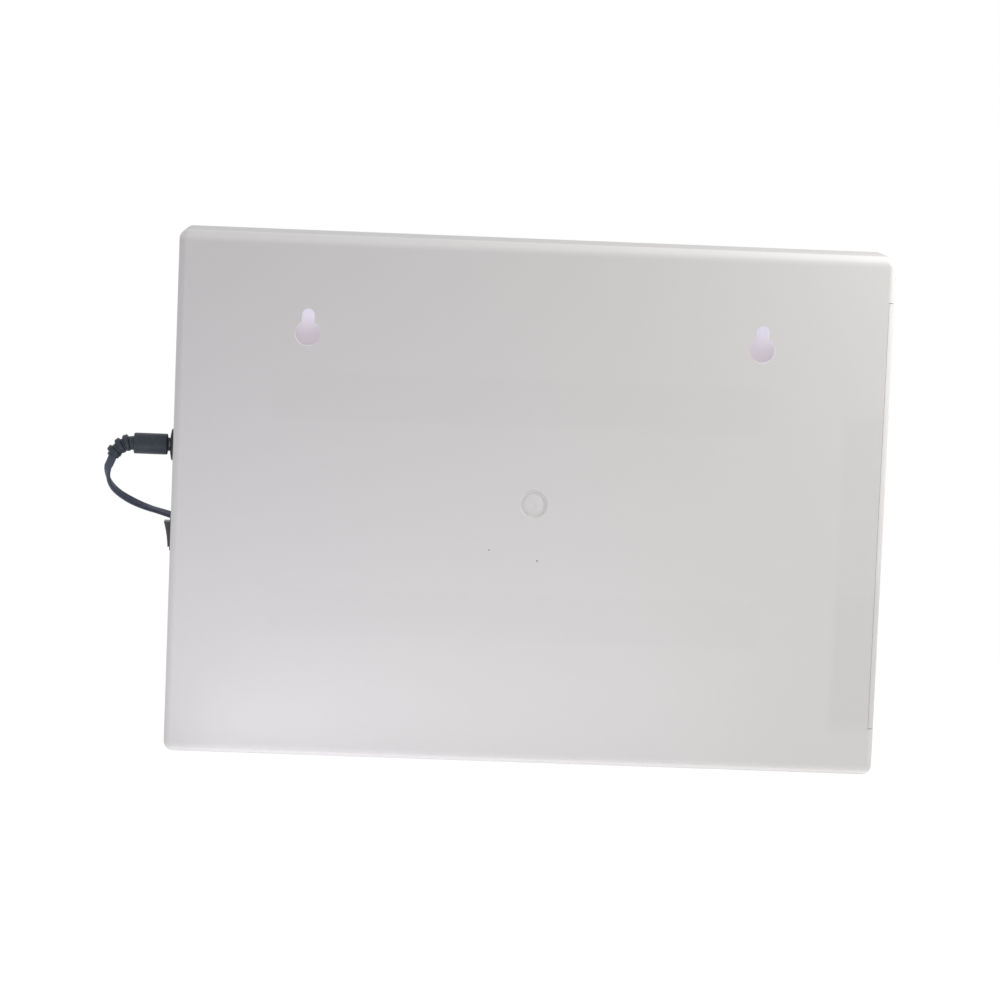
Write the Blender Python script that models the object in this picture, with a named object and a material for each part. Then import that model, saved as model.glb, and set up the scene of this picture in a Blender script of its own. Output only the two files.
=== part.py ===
"""An A4 cinema light box, standing on its long edge with its back to -Y and its letter panel to +Y.

The power socket and the rocker switch are in the left side, seen from behind, and the cell bay with its
cover is in the right one. All sizes are in metres. The origin is on the underside, below the middle.
"""

import math

import bmesh
import bpy
import numpy as np
from mathutils import Matrix, Vector

# Building values
GAP = 0.0003
OVERLAP = 0.0004
OVERRUN = 0.0100
MERGE = 0.000001
CORNER_STEPS = 5
FILLET_STEPS = 4
ROUND_SIDES = 24
SMALL_SIDES = 16
SHARP_ANGLE = math.radians(35)

# Case
BOX_WIDTH = 0.3000
BOX_HEIGHT = 0.2200
BOX_DEPTH = 0.0420
WALL = 0.0022
CORNER_RADIUS = 0.0040
BACK_FILLET = 0.0030
INNER_RADIUS = 0.0018

# Front frame, with the skirt and the hooks that hold it in the case
FRAME_EDGE = 0.0037
FRAME_BORDER = 0.0090
FRAME_FILLET = 0.0010
WINDOW_RADIUS = 0.0010
WINDOW_CHAMFER = 0.0006
LIP = 0.0025
SKIRT_DEPTH = 0.0027
SKIRT_WALL = 0.0016
HOOK_WIDTH = 0.0120
HOOK_LENGTH = 0.0066
HOOK_BARB = 0.0009
HOOK_RAMP = 0.0016
HOOK_SHARES = (-0.34, 0.0, 0.34)
SIDE_HOOK_SHARES = (-0.30, 0.30)

# Light panel and the ribs that back it
PANEL_THICKNESS = 0.0020
PANEL_RADIUS = 0.0015
PANEL_RIB = 0.0015
PANEL_RIB_REACH = 0.0060
RIB_SHARES = (-0.42, -0.20, 0.20, 0.38)
SIDE_RIB_SHARES = (-0.20, 0.20)

# Letter rails
ROWS = 3
RAIL_FOOT = 0.0005
RAIL_GROOVE = 0.0010
RAIL_CAP = 0.0008
RAIL_REACH = 0.0030
RAIL_STEM = 0.0014

# Light strips and the low ribs beside them
STRIP_LEFT_INSET = 0.0450
STRIP_RIGHT_INSET = 0.0550
STRIP_WIDTH = 0.0080
STRIP_THICKNESS = 0.0005
STRIP_LOWER_SHARE = 0.282
STRIP_UPPER_SHARE = 0.695
LIGHT_COUNT = 12
LIGHT_LENGTH = 0.0035
LIGHT_WIDTH = 0.0028
LIGHT_HEIGHT = 0.0008
LIGHTS_PER_RESISTOR = 3
RESISTOR_LENGTH = 0.0032
RESISTOR_WIDTH = 0.0016
RESISTOR_HEIGHT = 0.0005
GUIDE_WIDTH = 0.0012
GUIDE_HEIGHT = 0.0013
GUIDE_OVERHANG = 0.0020

# Keyholes and the pockets behind them
KEYHOLE_INSET = 0.0548
KEYHOLE_DROP = 0.0413
KEYHOLE_ROUND = 0.0106
KEYHOLE_SLOT = 0.0052
KEYHOLE_RISE = 0.0076
KEYHOLE_CHAMFER = 0.0004
POCKET_DEPTH = 0.0054
POCKET_WALL = 0.0012
POCKET_ROOM = 0.0013

# Round mark that the moulding gate leaves in the back
GATE_X = 0.0019
GATE_RISE = 0.0005
GATE_RADIUS = 0.0052
GATE_DEPTH = 0.0004
GATE_ISLAND_RADIUS = 0.0037
GATE_ISLAND_DEPTH = 0.0002
GATE_SLOPE = 0.0004
GATE_STUB_RADIUS = 0.0010

# Cell bay and its cover
BAY_INSET = 0.0092
BAY_DEPTH = 0.0150
BAY_WALL = 0.0016
SEAT_LAP = 0.0008
SEAT_PLATE = 0.0018
SEAT_OUTSET = 0.0003
COVER_LOW_INSET = 0.0198
COVER_HIGH_INSET = 0.0194
COVER_GAP = 0.0005
COVER_RIM = 0.0012
COVER_RIM_DEPTH = 0.0015
PEG_WIDTH = 0.0060
PEG_THICKNESS = 0.0020
PEG_LENGTH = 0.0050
PEG_INSET = 0.0050
PEG_SPREAD = 0.0180

# Contacts in the bay
CONTACT_THICKNESS = 0.0004
CONTACT_MARGIN = 0.0014
CONTACT_DIMPLE_RADIUS = 0.0034
CONTACT_DIMPLE_HEIGHT = 0.0012
TAG_WIDTH = 0.0030
TAG_REACH = 0.0040
TAG_SLOT_ROOM = 0.0003
SPRING_WIRE = 0.0007
SPRING_TURNS = 5
SPRING_CURL_POINTS = 10
SPRING_FOOT_RADIUS = 0.0046
SPRING_TIP_RADIUS = 0.0028
SPRING_HEIGHT = 0.0088

# Power socket
JACK_Y = 0.0
JACK_RISE = 0.0179
JACK_FLANGE_RADIUS = 0.0067
JACK_FLANGE_RIM = 0.0011
JACK_FLANGE_CROWN = 0.0018
JACK_BARREL_RADIUS = 0.0040
JACK_BARREL_LENGTH = 0.0085
JACK_TAIL_RADIUS = 0.0033
JACK_TAIL_LENGTH = 0.0045
JACK_BORE_DEPTH = 0.0095
JACK_MOUTH_CHAMFER = 0.0004
JACK_PIN_RADIUS = 0.00055
JACK_PIN_INSET = 0.0022
JACK_PIN_TAG = 0.0040
JACK_TAG_WIDTH = 0.0018
JACK_TAG_THICKNESS = 0.0004
JACK_TAG_LENGTH = 0.0042
JACK_TAG_OFFSET = 0.0023
NUT_FLATS = 0.0110
NUT_THICKNESS = 0.0020
NUT_SIDES = 6

# Plug in the socket
PLUG_NECK = 0.0010
PLUG_RADIUS = 0.00445
PLUG_LENGTH = 0.0143
PLUG_EDGE = 0.0006
SLEEVE_RADIUS = 0.00175
SLEEVE_BORE_RADIUS = 0.00085
SLEEVE_REACH = 0.0095
SLEEVE_ROOT = 0.0030
SLEEVE_TIP_CHAMFER = 0.0003
RELIEF_LENGTH = 0.0113
RELIEF_BEND = math.radians(68)
RELIEF_CORE_RADIUS = 0.0030
RELIEF_TIP_CORE_RADIUS = 0.0025
RELIEF_RIB_RADIUS = 0.0037
RELIEF_TIP_RIB_RADIUS = 0.0032
RELIEF_RIB_LIFT = 0.0004
RELIEF_RIB_WIDTH = 0.0021
RELIEF_RIB_EDGE = 0.0005
RELIEF_RIB_SHARES = (0.26, 0.51, 0.81)
RELIEF_STEPS = 10

# Rocker switch
SWITCH_Y = 0.0
SWITCH_DROP = 0.0194
SWITCH_BODY_WIDTH = 0.0086
SWITCH_BODY_HEIGHT = 0.0130
SWITCH_BODY_DEPTH = 0.0125
BEZEL_FLANGE = 0.0010
BEZEL_THICKNESS = 0.0007
BEZEL_RADIUS = 0.0010
BEZEL_EDGE = 0.0003
MOUTH_SIDE_INSET = 0.00045
MOUTH_END_INSET = 0.0001
SWITCH_WALL = 0.0006
SWITCH_FLOOR = 0.0020
SWITCH_TAG_WIDTH = 0.0028
SWITCH_TAG_THICKNESS = 0.0005
SWITCH_TAG_LENGTH = 0.0055
SWITCH_TAG_OFFSET = 0.0034
PIVOT_DEPTH = 0.0022
PIVOT_RADIUS = 0.0007
PIVOT_BORE_RADIUS = 0.0010
ROCKER_SIDE_GAP = 0.0004
ROCKER_END_GAP = 0.0008
ROCKER_CROWN = 0.0037
ROCKER_RISE = 0.00035
ROCKER_WAIST_INSET = 0.0007
ROCKER_WAIST_HEIGHT = 0.0006
ROCKER_KEEL_HALF_LENGTH = 0.0012
ROCKER_KEEL_DEPTH = 0.0034
ROCKER_SHOULDER_HALF_LENGTH = 0.0022
ROCKER_SHOULDER_DEPTH = 0.0014
ROCKER_EDGE = 0.0003
ROCKER_FACE_STEPS = 6
ROCKER_TILT = math.radians(9.75)

# Wires inside the case
WIRE_DIAMETER = 0.0013
WIRE_RED = (0.55, 0.02, 0.02)
WIRE_BLACK = (0.02, 0.02, 0.02)
WIRE_SPACING = 0.0070
WIRE_LANE = 0.0100
WIRE_CLIMB = 0.0080
WIRE_PITCH = 0.0030
PAD_PITCH = 0.0026

# Lead: a flat twin cord, modelled round at its full width
LEAD_DIAMETER = 0.0034
LEAD_SPACING = 0.0075
LEAD_ROUTE = (
    (-0.17820, 0.0006, 0.1174),
    (-0.17840, 0.0017, 0.1148),
    (-0.17790, 0.0032, 0.1118),
    (-0.17650, 0.0050, 0.1089),
    (-0.17420, 0.0074, 0.1062),
    (-0.17080, 0.0104, 0.1035),
    (-0.16630, 0.0142, 0.1008),
    (-0.16090, 0.0184, 0.0983),
    (-0.15600, 0.0219, 0.0965),
    (-0.15050, 0.0253, 0.0945),
    (-0.14440, 0.0283, 0.0923),
    (-0.13880, 0.0312, 0.0862),
    (-0.13360, 0.0328, 0.0770),
    (-0.12900, 0.0333, 0.0655),
    (-0.12460, 0.0328, 0.0525),
    (-0.11980, 0.0316, 0.0390),
    (-0.11400, 0.0299, 0.0262),
    (-0.10700, 0.0279, 0.0148),
    (-0.09860, 0.0259, 0.0070),
    (-0.08900, 0.0247, 0.0035),
)

# Coil of the spare lead, on the table behind the letter panel's side
COIL_X = -0.0700
COIL_Y = 0.0485
COIL_RADIUS = 0.0240
COIL_TURN_PITCH = 0.0039
COIL_LAYER_PITCH = 0.0039
COIL_TURNS = 6.5
COIL_LOOP_POINTS = 24
COIL_LEAST_GAP = 0.0004
FLOOR_CLEARANCE = 0.0001
TIE_THICKNESS = 0.0005
TIE_WIDTH = 0.0050
TIE_SLACK = 0.0003
TIE_RADIUS = 0.0020
TAIL_LENGTH = 0.0280
TAIL_SHIFT = 0.0063

# Plug on the lead's far end
USB_NECK_LENGTH = 0.0080
USB_NECK_RADIUS = 0.0030
USB_NECK_TIP_RADIUS = 0.0023
USB_BODY_LENGTH = 0.0180
USB_BODY_WIDTH = 0.0158
USB_BODY_HEIGHT = 0.0078
USB_BODY_EDGE = 0.0016
USB_SHELL_LENGTH = 0.0120
USB_SHELL_ROOT = 0.0016
USB_SHELL_WIDTH = 0.0120
USB_SHELL_HEIGHT = 0.0045
USB_SHELL_WALL = 0.0004
USB_WINDOW_LENGTH = 0.0024
USB_WINDOW_WIDTH = 0.0020
USB_WINDOW_SPREAD = 0.0055
USB_WINDOW_INSET = 0.0052
USB_TONGUE_WIDTH = 0.0104
USB_TONGUE_THICKNESS = 0.0016

# Places worked out from the sizes above
FRONT_Y = BOX_DEPTH / 2
BACK_Y = -BOX_DEPTH / 2
RIGHT_X = BOX_WIDTH / 2
LEFT_X = -BOX_WIDTH / 2
MID_Z = BOX_HEIGHT / 2
INNER_BACK_Y = BACK_Y + WALL
INNER_X = BOX_WIDTH / 2 - WALL
INNER_LOW_Z = WALL
INNER_HIGH_Z = BOX_HEIGHT - WALL
STRIP_LENGTH = BOX_WIDTH - STRIP_LEFT_INSET - STRIP_RIGHT_INSET
STRIP_CENTRE_X = (STRIP_LEFT_INSET - STRIP_RIGHT_INSET) / 2
STRIP_LOWER_Z = BOX_HEIGHT * STRIP_LOWER_SHARE
STRIP_UPPER_Z = BOX_HEIGHT * STRIP_UPPER_SHARE
KEYHOLE_X = BOX_WIDTH / 2 - KEYHOLE_INSET
KEYHOLE_Z = BOX_HEIGHT - KEYHOLE_DROP
GATE_Z = MID_Z + GATE_RISE
JACK_Z = MID_Z + JACK_RISE
SWITCH_Z = MID_Z - SWITCH_DROP
FRAME_BACK_Y = FRONT_Y - FRAME_EDGE
CASE_FRONT_Y = FRAME_BACK_Y - GAP
SKIRT_END_Y = FRAME_BACK_Y - SKIRT_DEPTH
PANEL_FRONT_Y = FRONT_Y - LIP - GAP
PANEL_BACK_Y = PANEL_FRONT_Y - PANEL_THICKNESS
BAY_FRONT_Y = SKIRT_END_Y - 2 * GAP - BAY_WALL
BAY_BACK_Y = INNER_BACK_Y
BAY_MID_Y = (BAY_FRONT_Y + BAY_BACK_Y) / 2
BAY_ROW_SPREAD = (BAY_FRONT_Y - BAY_BACK_Y) / 2
SEAT_X = INNER_X - SEAT_OUTSET
BAY_X = SEAT_X - BAY_DEPTH
COVER_LOW_Z = COVER_LOW_INSET
COVER_HIGH_Z = BOX_HEIGHT - COVER_HIGH_INSET
BAY_LOW_Z = COVER_LOW_Z + BAY_INSET
BAY_HIGH_Z = COVER_HIGH_Z - BAY_INSET
COVER_FRONT_Y = BAY_FRONT_Y + BAY_WALL - SEAT_LAP
PEG_CENTRES = (
    (BAY_MID_Y - PEG_SPREAD / 2, COVER_LOW_Z + PEG_INSET),
    (BAY_MID_Y + PEG_SPREAD / 2, COVER_LOW_Z + PEG_INSET),
    (BAY_MID_Y - PEG_SPREAD / 2, COVER_HIGH_Z - PEG_INSET),
    (BAY_MID_Y + PEG_SPREAD / 2, COVER_HIGH_Z - PEG_INSET),
)
JACK_SEAT_X = LEFT_X - GAP
JACK_CROWN_X = JACK_SEAT_X - JACK_FLANGE_CROWN
JACK_END_X = JACK_SEAT_X + JACK_BARREL_LENGTH + JACK_TAIL_LENGTH
PLUG_FACE_X = JACK_CROWN_X - PLUG_NECK
PLUG_END_X = PLUG_FACE_X - PLUG_LENGTH
BEZEL_SEAT_X = LEFT_X - GAP
BEZEL_FACE_X = BEZEL_SEAT_X - BEZEL_THICKNESS
SWITCH_END_X = BEZEL_SEAT_X + SWITCH_BODY_DEPTH
PIVOT_X = BEZEL_FACE_X + PIVOT_DEPTH
BEZEL_WIDTH = SWITCH_BODY_WIDTH + 2 * BEZEL_FLANGE
BEZEL_HEIGHT = SWITCH_BODY_HEIGHT + 2 * BEZEL_FLANGE
MOUTH_WIDTH = SWITCH_BODY_WIDTH - 2 * MOUTH_SIDE_INSET
MOUTH_HEIGHT = SWITCH_BODY_HEIGHT - 2 * MOUTH_END_INSET
ROCKER_WIDTH = SWITCH_BODY_WIDTH - 2 * SWITCH_WALL - 2 * ROCKER_SIDE_GAP
ROCKER_HALF_LENGTH = MOUTH_HEIGHT / 2 - ROCKER_END_GAP
ROCKER_WAIST_HALF_LENGTH = ROCKER_HALF_LENGTH - ROCKER_WAIST_INSET
COIL_LOW_Z = FLOOR_CLEARANCE + TIE_THICKNESS + TIE_SLACK + LEAD_DIAMETER / 2
COIL_HIGH_Z = COIL_LOW_Z + COIL_LAYER_PITCH
USB_Z = FLOOR_CLEARANCE + USB_BODY_HEIGHT / 2


def clear_scene():
    for item in list(bpy.data.objects):
        bpy.data.objects.remove(item, do_unlink=True)


def finish(name, colour, roughness, metallic=0.0, alpha=1.0):
    """A material with one colour, roughness and metallic value."""
    material = bpy.data.materials.new(name)
    material.use_nodes = True
    shader = material.node_tree.nodes["Principled BSDF"]
    shader.inputs["Base Color"].default_value = (*colour, 1.0)
    shader.inputs["Roughness"].default_value = roughness
    shader.inputs["Metallic"].default_value = metallic
    shader.inputs["Alpha"].default_value = alpha
    material.diffuse_color = (*colour, alpha)
    return material


def white_plastic(name):
    return finish(name, (0.73, 0.73, 0.73), 0.42)


def black_plastic(name):
    return finish(name, (0.022, 0.024, 0.028), 0.38)


def dark_pvc(name):
    return finish(name, (0.034, 0.042, 0.055), 0.50)


def clear_plastic(name):
    return finish(name, (0.92, 0.94, 0.95), 0.10, alpha=0.35)


def milky_plastic(name):
    return finish(name, (0.86, 0.86, 0.84), 0.35, alpha=0.9)


def nickel(name):
    return finish(name, (0.66, 0.65, 0.62), 0.28, metallic=1.0)


def brass(name):
    return finish(name, (0.72, 0.56, 0.28), 0.32, metallic=1.0)


def from_behind(u, v, w):
    """An outline seen from behind the case, swept along its depth."""
    return (u, w, v)


def from_side(u, v, w):
    """An outline seen from the case's side, swept along its width."""
    return (w, u, v)


def at_top(inwards, y, along):
    return (along, y, INNER_HIGH_Z - inwards)


def at_bottom(inwards, y, along):
    return (along, y, INNER_LOW_Z + inwards)


def at_left(inwards, y, along):
    return (-INNER_X + inwards, y, along)


def linked(name, data, material=None):
    item = bpy.data.objects.new(name, data)
    bpy.context.scene.collection.objects.link(item)
    if material is not None:
        data.materials.append(material)
    return item


def object_from(bm, name, material=None):
    """Turns the bmesh into an object with its faces outwards, smooth where it is round."""
    bmesh.ops.recalc_face_normals(bm, faces=bm.faces)
    mesh = bpy.data.meshes.new(name)
    bm.to_mesh(mesh)
    bm.free()
    mesh.shade_smooth()
    mesh.set_sharp_from_angle(angle=SHARP_ANGLE)
    return linked(name, mesh, material)


def combine(target, tool, operation):
    """Cuts the tool from the target, or joins it on, and hides the tool."""
    tool.hide_render = True
    tool.display_type = "WIRE"
    modifier = target.modifiers.new(tool.name, "BOOLEAN")
    modifier.operation = operation
    modifier.object = tool


def cut(target, *tools):
    for tool in tools:
        combine(target, tool, "DIFFERENCE")


def join(target, *tools):
    for tool in tools:
        combine(target, tool, "UNION")


def add_loft(bm, sections):
    """Bridges closed sections of points, one after the other, and caps the first and the last."""
    rings = []
    for section in sections:
        corners = [bm.verts.new(place) for place in section]
        edges = [bm.edges.new(pair) for pair in zip(corners, corners[1:] + corners[:1])]
        rings.append((corners, edges))
    for (_, lower), (_, upper) in zip(rings, rings[1:]):
        bmesh.ops.bridge_loops(bm, edges=lower + upper)
    bm.faces.new(rings[0][0])
    bm.faces.new(rings[-1][0])


def add_extrusion(bm, outline, place, start, end):
    add_loft(bm, [[place(u, v, w) for u, v in outline] for w in (start, end)])


def add_block(bm, low, high):
    size = Vector(high) - Vector(low)
    middle = (Vector(high) + Vector(low)) / 2
    stretch = Matrix.Diagonal((*size, 1.0))
    bmesh.ops.create_cube(bm, size=1.0, matrix=Matrix.Translation(middle) @ stretch)


def add_turned(bm, profile, centre, axis, sides):
    """Spins a profile of (radius, distance along the axis). One that leaves the axis alone is closed to a ring."""
    axis = Vector(axis)
    across = axis.orthogonal().normalized()
    corners = [bm.verts.new(Vector(centre) + axis * along + across * radius) for radius, along in profile]
    pairs = list(zip(corners, corners[1:]))
    if profile[0][0] > 0:
        pairs.append((corners[-1], corners[0]))
    edges = [bm.edges.new(pair) for pair in pairs]
    bmesh.ops.spin(
        bm,
        geom=corners + edges,
        cent=centre,
        axis=axis,
        angle=math.tau,
        steps=sides,
        use_merge=True,
    )
    bmesh.ops.remove_doubles(bm, verts=bm.verts, dist=MERGE)


def block(name, low, high, material=None):
    bm = bmesh.new()
    add_block(bm, low, high)
    return object_from(bm, name, material)


def blocks(name, corners, material=None):
    bm = bmesh.new()
    for low, high in corners:
        add_block(bm, low, high)
    return object_from(bm, name, material)


def extrusion(name, outline, place, start, end, material=None):
    bm = bmesh.new()
    add_extrusion(bm, outline, place, start, end)
    return object_from(bm, name, material)


def turned(name, profile, centre, axis, sides, material=None):
    bm = bmesh.new()
    add_turned(bm, profile, centre, axis, sides)
    return object_from(bm, name, material)


def rod(name, start, end, radius, sides, material=None):
    """A plain round bar between two points."""
    axis = Vector(end) - Vector(start)
    profile = [(0, 0), (radius, 0), (radius, axis.length), (0, axis.length)]
    return turned(name, profile, start, axis.normalized(), sides, material)


def tube(name, places, diameter, resolution, material):
    """A curve through the points, thick and with closed ends."""
    curve = bpy.data.curves.new(name, "CURVE")
    curve.dimensions = "3D"
    curve.bevel_depth = diameter / 2
    curve.bevel_resolution = resolution
    curve.use_fill_caps = True
    spline = curve.splines.new("POLY")
    spline.points.add(len(places) - 1)
    for point, place in zip(spline.points, places):
        point.co = (*place, 1.0)
    spline.use_smooth = True
    return linked(name, curve, material)


def rounded_rectangle(width, height, radius, centre=(0, 0)):
    """Points around a rectangle with round corners, anticlockwise."""
    outline = []
    corners = ((1, 1), (-1, 1), (-1, -1), (1, -1))
    for quarter, (side, level) in enumerate(corners):
        middle_u = centre[0] + side * (width / 2 - radius)
        middle_v = centre[1] + level * (height / 2 - radius)
        for step in range(CORNER_STEPS + 1):
            angle = math.pi / 2 * (quarter + step / CORNER_STEPS)
            outline.append((middle_u + radius * math.cos(angle), middle_v + radius * math.sin(angle)))
    return outline


def case_outline(inset, radius):
    return rounded_rectangle(BOX_WIDTH - 2 * inset, BOX_HEIGHT - 2 * inset, radius, (0, MID_Z))


def joint_empty(name, place):
    """An empty on a joint's axis, which carries the pieces that move with it."""
    empty = bpy.data.objects.new(name, None)
    bpy.context.scene.collection.objects.link(empty)
    empty.location = place
    return empty


def carry(empty, *items):
    for item in items:
        item.data.transform(Matrix.Translation(-empty.location))
        item.parent = empty


def hook_sites():
    """How each hook is placed on its wall, and where along it."""
    sites = [(wall, share * BOX_WIDTH) for wall in (at_top, at_bottom) for share in HOOK_SHARES]
    return sites + [(at_left, MID_Z + share * BOX_HEIGHT) for share in SIDE_HOOK_SHARES]


def rib_sites():
    sites = [(wall, share * BOX_WIDTH) for wall in (at_top, at_bottom) for share in RIB_SHARES]
    return sites + [(at_left, MID_Z + share * BOX_HEIGHT) for share in SIDE_RIB_SHARES]


def outer_body(name, material=None):
    """The case's outside as a solid, with the back's edge filleted."""
    bm = bmesh.new()
    add_extrusion(bm, case_outline(0, CORNER_RADIUS), from_behind, BACK_Y, CASE_FRONT_Y)
    edge = [e for e in bm.edges if all(abs(v.co.y - BACK_Y) < MERGE for v in e.verts)]
    bmesh.ops.bevel(
        bm,
        geom=edge,
        offset=BACK_FILLET,
        offset_type="OFFSET",
        segments=FILLET_STEPS,
        profile=0.5,
        affect="EDGES",
        material=-1,
    )
    return object_from(bm, name, material)


def bay_block():
    """The solid that the cell bay is cut from."""
    return block(
        "bay_block",
        (BAY_X - BAY_WALL, INNER_BACK_Y - OVERLAP, BAY_LOW_Z - BAY_WALL),
        (INNER_X + OVERLAP, BAY_FRONT_Y + BAY_WALL, BAY_HIGH_Z + BAY_WALL),
    )


def seat_plate(name, low_z, high_z):
    """The ledge past one end of the bay, on which the cover rests."""
    return block(
        name,
        (SEAT_X - SEAT_PLATE, INNER_BACK_Y - OVERLAP, low_z),
        (INNER_X + OVERLAP, BAY_FRONT_Y + BAY_WALL, high_z),
    )


def panel_ribs():
    """Stepped ribs on the walls: the step clears the frame's skirt and the top backs the panel."""
    skirt_room = GAP + SKIRT_WALL + GAP
    section = [
        (-OVERLAP, INNER_BACK_Y - OVERLAP),
        (PANEL_RIB_REACH, INNER_BACK_Y - OVERLAP),
        (PANEL_RIB_REACH, PANEL_BACK_Y - GAP),
        (skirt_room, PANEL_BACK_Y - GAP),
        (skirt_room, SKIRT_END_Y - GAP),
        (-OVERLAP, SKIRT_END_Y - GAP),
    ]
    bm = bmesh.new()
    for wall, along in rib_sites():
        add_extrusion(bm, section, wall, along - PANEL_RIB / 2, along + PANEL_RIB / 2)
    return object_from(bm, "panel_ribs")


def strip_guides():
    """Low ribs on the back wall, one along each long edge of each light strip."""
    corners = []
    start = STRIP_CENTRE_X - STRIP_LENGTH / 2 - GUIDE_OVERHANG
    end = STRIP_CENTRE_X + STRIP_LENGTH / 2 + GUIDE_OVERHANG
    for z in (STRIP_LOWER_Z, STRIP_UPPER_Z):
        edge = STRIP_WIDTH / 2 + GAP
        for low, high in ((edge, edge + GUIDE_WIDTH), (-edge - GUIDE_WIDTH, -edge)):
            floor = INNER_BACK_Y - OVERLAP
            corners.append(((start, floor, z + low), (end, INNER_BACK_Y + GUIDE_HEIGHT, z + high)))
    return blocks("strip_guides", corners)


def keyhole_centres():
    return [(side * KEYHOLE_X, KEYHOLE_Z) for side in (-1, 1)]


def pocket_corners(grow, floor_y):
    """Corners of each keyhole's pocket, grown by the thickness of its wall for the boss around it."""
    half = KEYHOLE_ROUND / 2 + POCKET_ROOM + grow
    rise = KEYHOLE_RISE + KEYHOLE_SLOT / 2 + POCKET_ROOM + grow
    top_y = INNER_BACK_Y + POCKET_DEPTH + grow
    return [((x - half, floor_y, z - half), (x + half, top_y, z + rise)) for x, z in keyhole_centres()]


def keyhole_outline(centre, grow):
    """A round hole with a narrower slot rising from it, anticlockwise, grown all round."""
    radius = KEYHOLE_ROUND / 2 + grow
    half = KEYHOLE_SLOT / 2 + grow
    notch = math.asin(half / radius)
    outline = []
    for step in range(FILLET_STEPS * 2 + 1):
        angle = math.pi * step / (FILLET_STEPS * 2)
        outline.append((half * math.cos(angle), KEYHOLE_RISE + half * math.sin(angle)))
    start = math.pi / 2 + notch
    sweep = math.tau - 2 * notch
    for step in range(ROUND_SIDES + 1):
        angle = start + sweep * step / ROUND_SIDES
        outline.append((radius * math.cos(angle), radius * math.sin(angle)))
    return [(centre[0] + u, centre[1] + v) for u, v in outline]


def keyhole_cutters():
    """Both keyholes through the back wall, flared where they meet its outside."""
    bm = bmesh.new()
    inside_y = INNER_BACK_Y + POCKET_DEPTH / 2
    for centre in keyhole_centres():
        stations = (
            (BACK_Y - KEYHOLE_CHAMFER, 2 * KEYHOLE_CHAMFER),
            (BACK_Y + KEYHOLE_CHAMFER, 0),
            (inside_y, 0),
        )
        add_loft(bm, [[from_behind(u, v, y) for u, v in keyhole_outline(centre, grow)] for y, grow in stations])
    return object_from(bm, "keyhole_cutters")


def gate_cutter():
    """The shallow ring, island and stub of the moulding gate."""
    profile = [
        (0, -OVERRUN),
        (GATE_RADIUS + GATE_SLOPE, -OVERRUN),
        (GATE_RADIUS + GATE_SLOPE, 0),
        (GATE_RADIUS, GATE_DEPTH),
        (GATE_ISLAND_RADIUS + GATE_SLOPE, GATE_DEPTH),
        (GATE_ISLAND_RADIUS, GATE_ISLAND_DEPTH),
        (GATE_STUB_RADIUS, GATE_ISLAND_DEPTH),
        (GATE_STUB_RADIUS, GATE_DEPTH),
        (0, GATE_DEPTH),
    ]
    return turned("gate_cutter", profile, (GATE_X, BACK_Y, GATE_Z), (0, 1, 0), ROUND_SIDES + SMALL_SIDES)


def hook_recesses():
    """Blind pockets in the walls that take the frame's barbs."""
    bm = bmesh.new()
    end = SKIRT_END_Y - HOOK_LENGTH
    half = HOOK_WIDTH / 2 + GAP
    section = [
        (-HOOK_BARB, end - GAP),
        (OVERLAP, end - GAP),
        (OVERLAP, end + 2 * HOOK_RAMP + GAP),
        (-HOOK_BARB, end + 2 * HOOK_RAMP + GAP),
    ]
    for wall, along in hook_sites():
        add_extrusion(bm, section, wall, along - half, along + half)
    return object_from(bm, "hook_recesses")


def peg_corners(grow, start_x, end_x):
    corners = []
    for y, z in PEG_CENTRES:
        half_width = PEG_WIDTH / 2 + grow
        half_thickness = PEG_THICKNESS / 2 + grow
        low = (start_x, y - half_width, z - half_thickness)
        corners.append((low, (end_x, y + half_width, z + half_thickness)))
    return corners


def tag_slots():
    """Slots in the bay's inner wall, one at each end, for the contacts' tags."""
    half = TAG_WIDTH / 2 + TAG_SLOT_ROOM
    rise = GAP + CONTACT_THICKNESS + TAG_SLOT_ROOM
    start = BAY_X - BAY_WALL - OVERRUN / 2
    end = BAY_X + OVERLAP
    low = ((start, BAY_MID_Y - half, BAY_LOW_Z - OVERLAP), (end, BAY_MID_Y + half, BAY_LOW_Z + rise))
    high = ((start, BAY_MID_Y - half, BAY_HIGH_Z - rise), (end, BAY_MID_Y + half, BAY_HIGH_Z + OVERLAP))
    return blocks("tag_slots", (low, high))


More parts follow.
